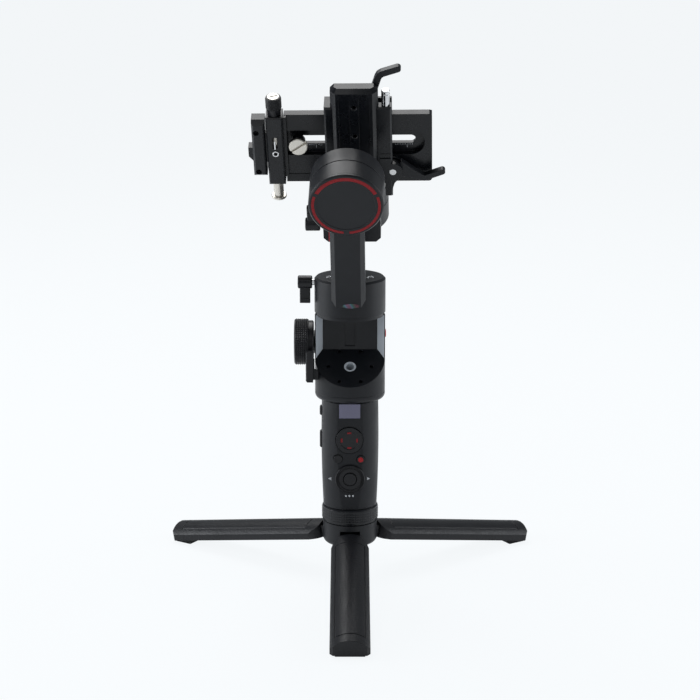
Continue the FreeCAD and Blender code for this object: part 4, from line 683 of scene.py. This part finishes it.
@dataclass
class Grip:
    """Two shells, end cap, keys, dial and display of the handle."""

    front: float = -19.0
    dial_height: float = 86.4
    dial_radius: float = 11.3
    dial_bore: float = 5.2
    dial_hub: float = 7.5
    dial_top: float = 1.8
    dial_foot: float = 0.3
    dial_back: float = -6.0
    dial_ribs: int = 120
    face_flute: float = 0.7
    rim_flute: float = 0.4
    pad_centre: Point = (-0.5, 117.4)
    record_centre: Point = (8.3, 102.0)
    # Inner and outer radius of the red marks, then half of their sweep.
    pad_mark: Point = (5.3, 6.7)
    pad_mark_half: float = 15.0
    pad_rise: float = 0.37
    record_rise: float = 0.75
    mark_thickness: float = 0.12
    print_sink: float = -0.03
    # Name, X and direction of each arrow, and where its corners stand; both in radians.
    arrows: tuple[tuple[str, float, float], ...] = (
        ("arrow_left", -15.4, math.pi),
        ("arrow_right", 14.1, 0.0),
    )
    arrow_turns: tuple[float, ...] = (0.0, 2.2, -2.2)
    arrow_radius: float = 1.5
    arrow_height: float = 86.6
    dot_radius: float = 0.75
    dot_middle: float = -0.4
    dot_pitch: float = 2.7
    dot_height: float = 72.5

    def build(self, bench: Bench) -> None:
        """Dress the shells and make the dial and the printed marks.

        Args:
            bench: Gives and takes the pieces.
        """
        for node in ("handle_base", "handle_collar"):
            bench.refine(node, Surface.ANODISED, width=0.3)
        for node in ("handle_shell_front", "handle_shell_rear"):
            bench.refine(node, Surface.SOFT_TOUCH, width=0.25)
        for node in ("direction_pad", "left_button", "dial_button", "side_key_upper", "side_key_lower",
                     "record_button"):
            bench.refine(node, Surface.KEY, width=0.35)
        bench.refine("pad_cross", Surface.KEY, width=0.2)
        bench.refine("display_window", Surface.SMOKED, width=0.15)
        bench.refine("control_board", Surface.BOARD, width=0.0)
        bench.refine("battery_cells", Surface.SLEEVE, width=0.3)
        self.dial(bench)
        self.marks(bench)

    def facing(self, x: float, z: float, proud: float) -> Matrix:
        """Place on the flat front, with a piece's own Z towards the user."""
        origin = Vector((x, self.front - proud, z)) * MM
        return frame_on(origin, Vector((1, 0, 0)), Vector((0, -1, 0)))

    def dial(self, bench: Bench) -> None:
        """Turn the ribbed control dial.

        Args:
            bench: Gives and takes the pieces.
        """
        outer, bore, hub = self.dial_radius, self.dial_bore, self.dial_hub
        top, foot, back = self.dial_top, self.dial_foot, self.dial_back
        profile = [(bore, back), (hub, back), (hub, foot), (outer - 0.5, foot), (outer, foot + 0.4),
                   (outer, top - 0.5), (outer - 0.3, top), (outer - 2.6, top), (outer - 2.9, top - 0.4),
                   (bore + 0.3, top - 0.4), (bore, top - 0.7)]
        piece = turned("control_dial_ribbed", metres(profile), self.dial_ribs, hollow=True)
        flute(piece, lambda f: f.normal.z > 0.99 and f.center.z > (top - 0.1) * MM, self.face_flute * MM)
        flute(piece, lambda f: upright(f) and foot * MM < f.center.z < top * MM
              and f.center.xy.length > (hub + 1.0) * MM, self.rim_flute * MM)
        bench.settle(piece, self.facing(0, self.dial_height, 0), Surface.KEY, "control_dial", stands_for=True)

    def marks(self, bench: Bench) -> None:
        """Print the arrows and dots and inlay the red marks.

        Args:
            bench: Gives and takes the pieces.
        """
        flat, size = self.mark_thickness * MM, self.arrow_radius * MM
        for name, x, way in self.arrows:
            corners = [(size * math.cos(way + t), size * math.sin(way + t)) for t in self.arrow_turns]
            place = self.facing(x, self.arrow_height, self.print_sink)
            bench.settle(slab(name, corners, flat), place, Surface.PRINT, "handle_shell_front")
        for index in range(3):
            piece = slab(f"dot_{index + 1}", oval(self.dot_radius * MM, self.dot_radius * MM, sides=20), flat)
            x = self.dot_middle + self.dot_pitch * (index - 1)
            place = self.facing(x, self.dot_height, self.print_sink)
            bench.settle(piece, place, Surface.PRINT, "handle_shell_front")
        inner, outer = (radius * MM for radius in self.pad_mark)
        place = self.facing(*self.pad_centre, self.pad_rise)
        for index in range(4):
            outline = sector(inner, outer, 90.0 * index, self.pad_mark_half)
            piece = slab(f"pad_mark_{index + 1}", outline, flat)
            bench.settle(piece, place, Surface.RED_RING, "direction_pad")
        spot = turned("record_spot", metres([(2.0, 0.0), (2.0, 0.15), (1.7, 0.3)]), sides=32)
        place = self.facing(*self.record_centre, self.record_rise)
        bench.settle(spot, place, Surface.RED_ALLOY, "record_button")


@dataclass
class Body:
    """Hollow body over the grip, with its wheel, rocker, slider and accessory face."""

    wheel_axis: Point = (9.5, 188.7)
    wheel_outer: float = -43.0
    wheel_radius: float = 18.0
    wheel_teeth: int = 64
    wheel_band: Point = (4.9, 14.0)
    wheel_rows: int = 6
    wheel_relief: float = 0.55
    wheel_depth: float = 15.0
    wing_inner: Point = (21.0, 5.9)
    wing_outer: Point = (26.5, -1.4)
    wing_feet: Point = (183.9, 178.2)
    wing_top: float = 212.2
    wing_inset: float = 0.25
    wing_thickness: float = 0.12

    def build(self, bench: Bench) -> None:
        """Dress the body, make the knurled wheel and lay painted highlights on the wings.

        Args:
            bench: Gives and takes the pieces.
        """
        bench.refine("body_housing", Surface.ANODISED, width=0.35)
        # The insert's pale metal, with its bright reflections painted in as diffuse highlight.
        bench.refine("mount_insert", Surface.SILVER, width=0.2)
        bench.refine("zoom_rocker", Surface.KEY, width=0.3)
        bench.refine("lock_slider", Surface.RED_ALLOY, width=0.3)
        bench.refine("pan_stator", Surface.COPPER, width=0.0)
        bench.refine("pan_bearings", Surface.GROUND, width=0.2)
        self.wheel(bench)
        for side in (-1, 1):
            self.wing(bench, side)

    def wing(self, bench: Bench, side: int) -> None:
        """Lay a pale sheet on the splayed wing beside the recess, a painted highlight where its face catches
        the light.

        Args:
            bench: Gives and takes the pieces.
            side: -1 for the left wing, 1 for the right.
        """
        inner, outer = (Vector((side * x, y, 0)) * MM for x, y in (self.wing_inner, self.wing_outer))
        start, end = (inner, outer) if side > 0 else (outer, inner)
        feet = self.wing_feet if side > 0 else self.wing_feet[::-1]
        width, inset, top = (end - start).length, self.wing_inset * MM, self.wing_top * MM
        corners = [(inset, feet[0] * MM), (width - inset, feet[1] * MM), (width - inset, top), (inset, top)]
        piece = slab("wing_painted_highlight_" + ("right" if side > 0 else "left"), corners, self.wing_thickness * MM)
        along = (end - start).normalized()
        place = frame_on(start, along, along.cross(Vector((0, 0, 1))))
        # The pale sheet is painted highlight, not a lacquer that the body has.
        bench.settle(piece, place, Surface.SILVER, "body_housing")

    def wheel(self, bench: Bench) -> None:
        """Turn the focus wheel with a band of small pyramids.

        Args:
            bench: Gives and takes the pieces.
        """
        grip, back = self.wheel_radius, self.wheel_depth
        band, (low, high) = grip - self.wheel_relief, self.wheel_band
        profile = [(4.1, 12.3), (4.1, 0.0), (15.5, 0.0), (16.5, 0.8), (16.5, 4.0), (grip - 1.0, 4.0),
                   (grip - 0.3, 4.5), (band, low), (band, high), (grip - 0.4, 14.3), (grip - 1.4, back),
                   (14.4, back), (13.9, 14.0), (3.0, 14.0)]
        piece = turned("focus_wheel_knurled", metres(profile), self.wheel_teeth)
        knurl(piece, low * MM, high * MM, self.wheel_rows, self.wheel_relief * MM)
        origin = Vector((self.wheel_outer + back, *self.wheel_axis)) * MM
        place = frame_on(origin, Vector((0, 0, 1)), Vector((-1, 0, 0)))
        bench.settle(piece, place, Surface.KEY, "focus_wheel", stands_for=True)


@dataclass
class PanStage:
    """Pan drum, its clamp lever and the pan arm with the roll motor's cup."""

    badge_half: Point = (6.3, 2.2)
    badge_thickness: float = 0.15
    badge_place: Place = (0.7, -90.85, -98.0)
    sleeve_radius: float = 2.4
    sleeve_ends: Point = (1.15, 2.7)

    def build(self, bench: Bench) -> None:
        """Dress the pan stage and fit its label and the lever's sleeve.

        Args:
            bench: Gives and takes the pieces.
        """
        bench.refine("pan_rotor_housing", Surface.ANODISED, width=0.35)
        bench.refine("pan_rotor_screws", Surface.POLISHED, width=0.15)
        bench.refine("pan_clamp_lever", Surface.KEY, width=0.4)
        bench.refine("pan_arm", Surface.ANODISED, width=0.4)
        self.badge(bench)
        self.sleeve(bench)

    def sleeve(self, bench: Bench) -> None:
        """Fit the bright sleeve of the lever's screw.

        Args:
            bench: Gives and takes the pieces.
        """
        joint = bench.joints["pan_lever_turn"]
        profile = [(self.sleeve_radius, end) for end in self.sleeve_ends]
        piece = turned("pan_lever_sleeve", metres(profile), sides=24)
        place = frame_on(Vector(joint["pos_m"]), Vector((0, 0, 1)), Vector(joint["axis"]))
        bench.settle(piece, place, Surface.POLISHED, "pan_clamp_lever")

    def badge(self, bench: Bench) -> None:
        """Lay the oval foil label on the foot of the arm.

        Args:
            bench: Gives and takes the pieces.
        """
        half_width, half_height = self.badge_half
        outline = oval(half_width * MM, half_height * MM, sides=48)
        piece = slab("arm_foil_label", outline, self.badge_thickness * MM)
        bench.settle(piece, bench.front_of_head(*self.badge_place), Surface.FOIL, "pan_arm")


@dataclass
class RollStage:
    """Roll motor with its red ring, clamp block and the arm to the tilt motor."""

    tab_place: Place = (-13.9, -62.8, -53.5)
    tab_thickness: float = 0.6
    tab_edge: float = 0.15

    def build(self, bench: Bench) -> None:
        """Dress the roll stage and fit its lock mark.

        Args:
            bench: Gives and takes the pieces.
        """
        bench.refine("roll_motor_cover", Surface.ANODISED, width=0.25)
        bench.refine("roll_accent_ring", Surface.RED_RING, width=0.15)
        bench.refine("roll_stator", Surface.COPPER, width=0.0)
        bench.refine("roll_bearings", Surface.GROUND, width=0.2)
        bench.refine("roll_rotor_housing", Surface.ANODISED, width=0.3)
        bench.refine("roll_clamp_block", Surface.ANODISED, width=0.4)
        bench.refine("roll_clamp_lever", Surface.KEY, width=0.4)
        bench.refine("roll_arm", Surface.ANODISED, width=0.4)
        self.tab(bench)

    def tab(self, bench: Bench) -> None:
        """Fit the small red lock mark on the clamp block.

        Args:
            bench: Gives and takes the pieces.
        """
        corners = [(-1.6, -4.7), (1.6, -4.7), (1.6, 3.2), (0.4, 4.7), (-1.6, 4.7)]
        piece = slab("roll_lock_mark", metres(corners), self.tab_thickness * MM)
        bench.settle(piece, bench.front_of_head(*self.tab_place), Surface.RED_ALLOY, "roll_clamp_block",
                     width=self.tab_edge)


@dataclass
class TiltStage:
    """Tilt motor, its knob and the rail that carries the camera."""

    knob_axis: Point = (0.0, 40.0)
    knob_seat: float = -68.7
    knob_band: Point = (0.5, 7.2)
    knob_teeth: int = 32
    knob_rows: int = 5
    knob_relief: float = 0.4

    def build(self, bench: Bench) -> None:
        """Dress the tilt stage and make its knurled knob.

        Args:
            bench: Gives and takes the pieces.
        """
        bench.refine("tilt_motor_cover", Surface.ANODISED, width=0.25)
        bench.refine("tilt_stator", Surface.COPPER, width=0.0)
        bench.refine("tilt_bearings", Surface.GROUND, width=0.2)
        bench.refine("tilt_rotor_housing", Surface.ANODISED, width=0.3)
        bench.refine("tilt_arm", Surface.MACHINED, width=0.35)
        low, high = self.knob_band
        profile = [(2.0, -3.0), (2.0, 0.0), (5.2, 0.0), (5.6, low), (5.6, high), (5.0, 8.0), (1.5, 8.0)]
        piece = turned("tilt_knob_knurled", metres(profile), self.knob_teeth)
        knurl(piece, low * MM, high * MM, self.knob_rows, self.knob_relief * MM)
        place = bench.head @ Matrix.Translation(Vector((*self.knob_axis, self.knob_seat)) * MM)
        bench.settle(piece, place, Surface.KEY, "tilt_clamp_knob", stands_for=True)


@dataclass
class CameraMount:
    """Double clamp, levers, sliding plate and camera screw."""

    tick_height: float = -6.0
    tick_pitch: float = 1.25
    tick_range: tuple[int, int] = (-7, 4)
    tick_half: float = 0.14
    tick_thickness: float = 0.08
    short_tick: float = 1.3
    tall_tick: float = 3.6
    left_middle: float = -25.0
    right_middle: float = 43.0
    slot_floor: float = -11.47

    def build(self, bench: Bench) -> None:
        """Dress the camera mount and print the plate's scale.

        Args:
            bench: Gives and takes the pieces.
        """
        bench.refine("clamp_body", Surface.MACHINED, width=0.35)
        bench.refine("camera_plate", Surface.MACHINED, width=0.3)
        bench.refine("screw_collar", Surface.MACHINED, width=0.2)
        bench.refine("top_lever", Surface.ANODISED, width=1.0, steps=3)
        bench.refine("side_lever", Surface.ANODISED, width=0.8, steps=3)
        for node in ("lever_pins", "safety_pin"):
            bench.refine(node, Surface.POLISHED, width=0.25)
        bench.refine("camera_screw", Surface.NICKEL, width=0.25)
        self.scale(bench)

    def scale(self, bench: Bench) -> None:
        """Print two short runs of scale marks under the plate's slot.

        Args:
            bench: Gives and takes the pieces.
        """
        for group, middle in (("left", self.left_middle), ("right", self.right_middle)):
            for index in range(*self.tick_range):
                tall = self.tall_tick if index == 0 else self.short_tick
                outline = metres(bar(self.tick_half, -tall, 0.0))
                piece = slab(f"plate_mark_{group}_{index + 5}", outline, self.tick_thickness * MM)
                x = middle + index * self.tick_pitch
                place = bench.front_of_head(x, self.slot_floor, self.tick_height)
                bench.settle(piece, place, Surface.PRINT, "camera_plate")


@dataclass
class LensSupport:
    """Clamp and outer block at the plate's end, with the long lens screw."""

    rod_axis: Point = (-54.8, -16.5)
    knob_heights: Point = (27.3, 40.3)
    knob_rows: int = 6
    knob_relief: float = 0.4
    sides: int = 40
    slot_half: Point = (3.2, 0.65)
    slot_turn: float = 20.0
    slot_height: float = 0.05
    pin_half: Point = (0.5, 3.6)
    pin_height: float = 0.3
    pin_aside: float = -0.3
    pin_place: Point = (-22.95, 0.8)
    rim_place: Point = (-23.3, -6.7)

    def build(self, bench: Bench) -> None:
        """Dress the lens support and make its screws.

        Args:
            bench: Gives and takes the pieces.
        """
        bench.refine("lens_clamp", Surface.MACHINED, width=0.35)
        bench.refine("lens_support_block", Surface.MACHINED, width=0.4)
        self.knob(bench)
        self.lock_rim(bench)

    def knob(self, bench: Bench) -> None:
        """Turn the long screw with its knurled black knob and bright cap, with painted shade for the slot in
        the cap.

        Args:
            bench: Gives and takes the pieces.
        """
        low, high = self.knob_heights
        place = bench.head @ Matrix.Translation(Vector((*self.rod_axis, 0.0)) * MM)
        shaft = [(5.2, -50.9), (5.7, -50.5), (5.7, -49.3), (5.2, -48.9), (3.8, -48.9), (3.8, low)]
        rod = turned("lens_screw_shaft", metres(shaft), self.sides)
        bench.settle(rod, place, Surface.NICKEL, "lens_clamp_screw", stands_for=True)
        start, end = low + 3.0, high - 1.2
        profile = [(5.0, 25.3), (5.0, low), (5.6, low + 2.5), (5.6, start), (5.6, end), (5.6, high - 0.9),
                   (4.6, high - 0.4)]
        piece = turned("lens_screw_knurled", metres(profile), self.sides)
        knurl(piece, start * MM, end * MM, self.knob_rows, self.knob_relief * MM)
        bench.settle(piece, place, Surface.KEY, "lens_clamp_screw")
        profile = [(4.3, high - 0.5), (4.3, high - 0.1), (4.0, high)]
        cap = turned("lens_screw_cap", metres(profile), self.sides)
        bench.settle(cap, place, Surface.NICKEL, "lens_clamp_screw")
        # The slot is not cut: a thin dark sheet on the cap is painted shade for the shadow inside it.
        length, width = self.slot_half
        slot_shade = slab("lens_screw_slot_painted_shade", metres(bar(length, -width, width)), self.slot_height * MM)
        lift = Matrix.Translation(Vector((0, 0, high)) * MM)
        turn = Matrix.Rotation(math.radians(self.slot_turn), 4, "Z")
        bench.settle(slot_shade, place @ lift @ turn, Surface.RUBBER, "lens_clamp_screw")

    def lock_rim(self, bench: Bench) -> None:
        """Fit the bright guide pin and the bright rim of the small lock screw.

        Args:
            bench: Gives and takes the pieces.
        """
        axis, (width, height) = self.rod_axis[0], self.pin_half
        pin = slab("lens_guide_pin", metres(bar(width, -height, height)), self.pin_height * MM)
        place = bench.front_of_head(axis + self.pin_aside, *self.pin_place)
        bench.settle(pin, place, Surface.POLISHED, "lens_clamp")
        profile = [(1.5, 0.0), (2.5, 0.0), (2.5, 0.3), (2.3, 0.5), (1.7, 0.5), (1.5, 0.3)]
        rim = turned("lens_lock_rim", metres(profile), sides=32, hollow=True)
        bench.settle(rim, bench.front_of_head(axis, *self.rim_place), Surface.POLISHED, "lens_clamp")


# ---------------------------------------------------------------- studio
@dataclass(frozen=True)
class Lamp:
    """One square lamp.

    Attributes:
        name: Name of the lamp.
        place: Where it hangs, in metres.
        size: Length of its side in metres.
        power: Power in watts.
        colour: sRGB hex colour.
    """

    name: str
    place: Place
    size: float
    power: float
    colour: str


@dataclass
class Studio:
    """Camera, soft lamps and a pale floor, in metres; lens and film width in millimetres."""

    camera_place: Place = (0.0, -1.518, 0.570)
    camera_pitch: float = 14.254
    lens: float = 104.55
    film_width: float = 36.0
    floor_size: float = 40.0
    floor_colour: str = "#f9fcfe"
    floor_roughness: float = 0.9
    glow: float = 0.93
    mirrored_glow: float = 0.5
    sky_colour: str = "#eef4f8"
    sky_strength: float = 0.25
    aim: Place = (0.0, 0.0, 0.22)
    lamps: tuple[Lamp, ...] = (
        Lamp("top_lamp", (-0.2, 0.75, 1.6), 1.2, 20.0, "#ffffff"),
        Lamp("left_lamp", (-1.4, 0.0, 0.55), 0.8, 13.0, "#f8fbff"),
        Lamp("right_lamp", (1.4, 0.1, 0.55), 0.8, 9.0, "#f8fbff"),
        Lamp("front_lamp", (-0.5, -1.5, 1.3), 0.8, 2.0, "#ffffff"),
    )

    def build(self) -> None:
        """Set up the whole studio."""
        self.camera()
        self.floor()
        self.world()
        for lamp in self.lamps:
            self.hang(lamp)

    def camera(self) -> None:
        """Place the camera."""
        deselect()
        pitch = math.radians(90 - self.camera_pitch)
        bpy.ops.object.camera_add(location=self.camera_place, rotation=(pitch, 0, 0))
        camera = bpy.context.object
        camera.data.lens = self.lens
        camera.data.sensor_width = self.film_width
        bpy.context.scene.camera = camera

    def floor(self) -> None:
        """Lay a pale floor that glows for the camera, and less in reflections, but keeps its shadow."""
        deselect()
        bpy.ops.mesh.primitive_plane_add(size=self.floor_size, location=(0, 0, 0))
        floor = bpy.context.object
        floor.name = "studio_floor"
        made = bpy.data.materials.new("pale_floor")
        made.use_nodes = True
        tree = made.node_tree
        shader = tree.nodes["Principled BSDF"]
        shader.inputs["Base Color"].default_value = linear(self.floor_colour)
        shader.inputs["Roughness"].default_value = self.floor_roughness
        rays = add_node(tree, "ShaderNodeLightPath")
        glossy = add_node(tree, "ShaderNodeMath", {0: rays.outputs["Is Glossy Ray"], 1: self.mirrored_glow},
                          operation="MULTIPLY")
        seen = add_node(tree, "ShaderNodeMath", {0: rays.outputs["Is Camera Ray"], 1: glossy.outputs[0]},
                        operation="MAXIMUM")
        share = add_node(tree, "ShaderNodeMath", {0: seen.outputs[0], 1: self.glow}, operation="MULTIPLY")
        glow = add_node(tree, "ShaderNodeEmission", {"Color": linear(self.floor_colour), "Strength": 1.0})
        mix = add_node(tree, "ShaderNodeMixShader", {0: share.outputs[0], 1: shader.outputs["BSDF"],
                                                     2: glow.outputs["Emission"]})
        tree.links.new(mix.outputs["Shader"], tree.nodes["Material Output"].inputs["Surface"])
        floor.data.materials.append(made)

    def world(self) -> None:
        """Light everything softly from all sides."""
        world = bpy.data.worlds.new("studio_sky")
        world.use_nodes = True
        sky = world.node_tree.nodes["Background"]
        sky.inputs["Color"].default_value = linear(self.sky_colour)
        sky.inputs["Strength"].default_value = self.sky_strength
        bpy.context.scene.world = world

    def hang(self, lamp: Lamp) -> None:
        """Hang one lamp that faces the gimbal.

        Args:
            lamp: The lamp.
        """
        deselect()
        bpy.ops.object.light_add(type="AREA", location=lamp.place)
        light = bpy.context.object
        light.name = lamp.name
        light.data.size = lamp.size
        light.data.energy = lamp.power
        light.data.color = linear(lamp.colour)[:3]
        light.rotation_mode = "QUATERNION"
        light.rotation_quaternion = (Vector(self.aim) - Vector(lamp.place)).to_track_quat("-Z", "Y")


# ---------------------------------------------------------------- making
def main() -> None:
    """Load the frame, set up the studio and build every sub-assembly."""
    logging.basicConfig(level=logging.INFO, format="%(name)s: %(message)s")
    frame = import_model()
    bpy.context.scene.view_settings.view_transform = "Standard"
    bench = Bench(frame)
    Studio().build()
    for assembly in (MiniTripod(), Grip(), Body(), PanStage(), RollStage(), TiltStage(), CameraMount(),
                     LensSupport()):
        assembly.build(bench)


if __name__ == "__main__":
    main()
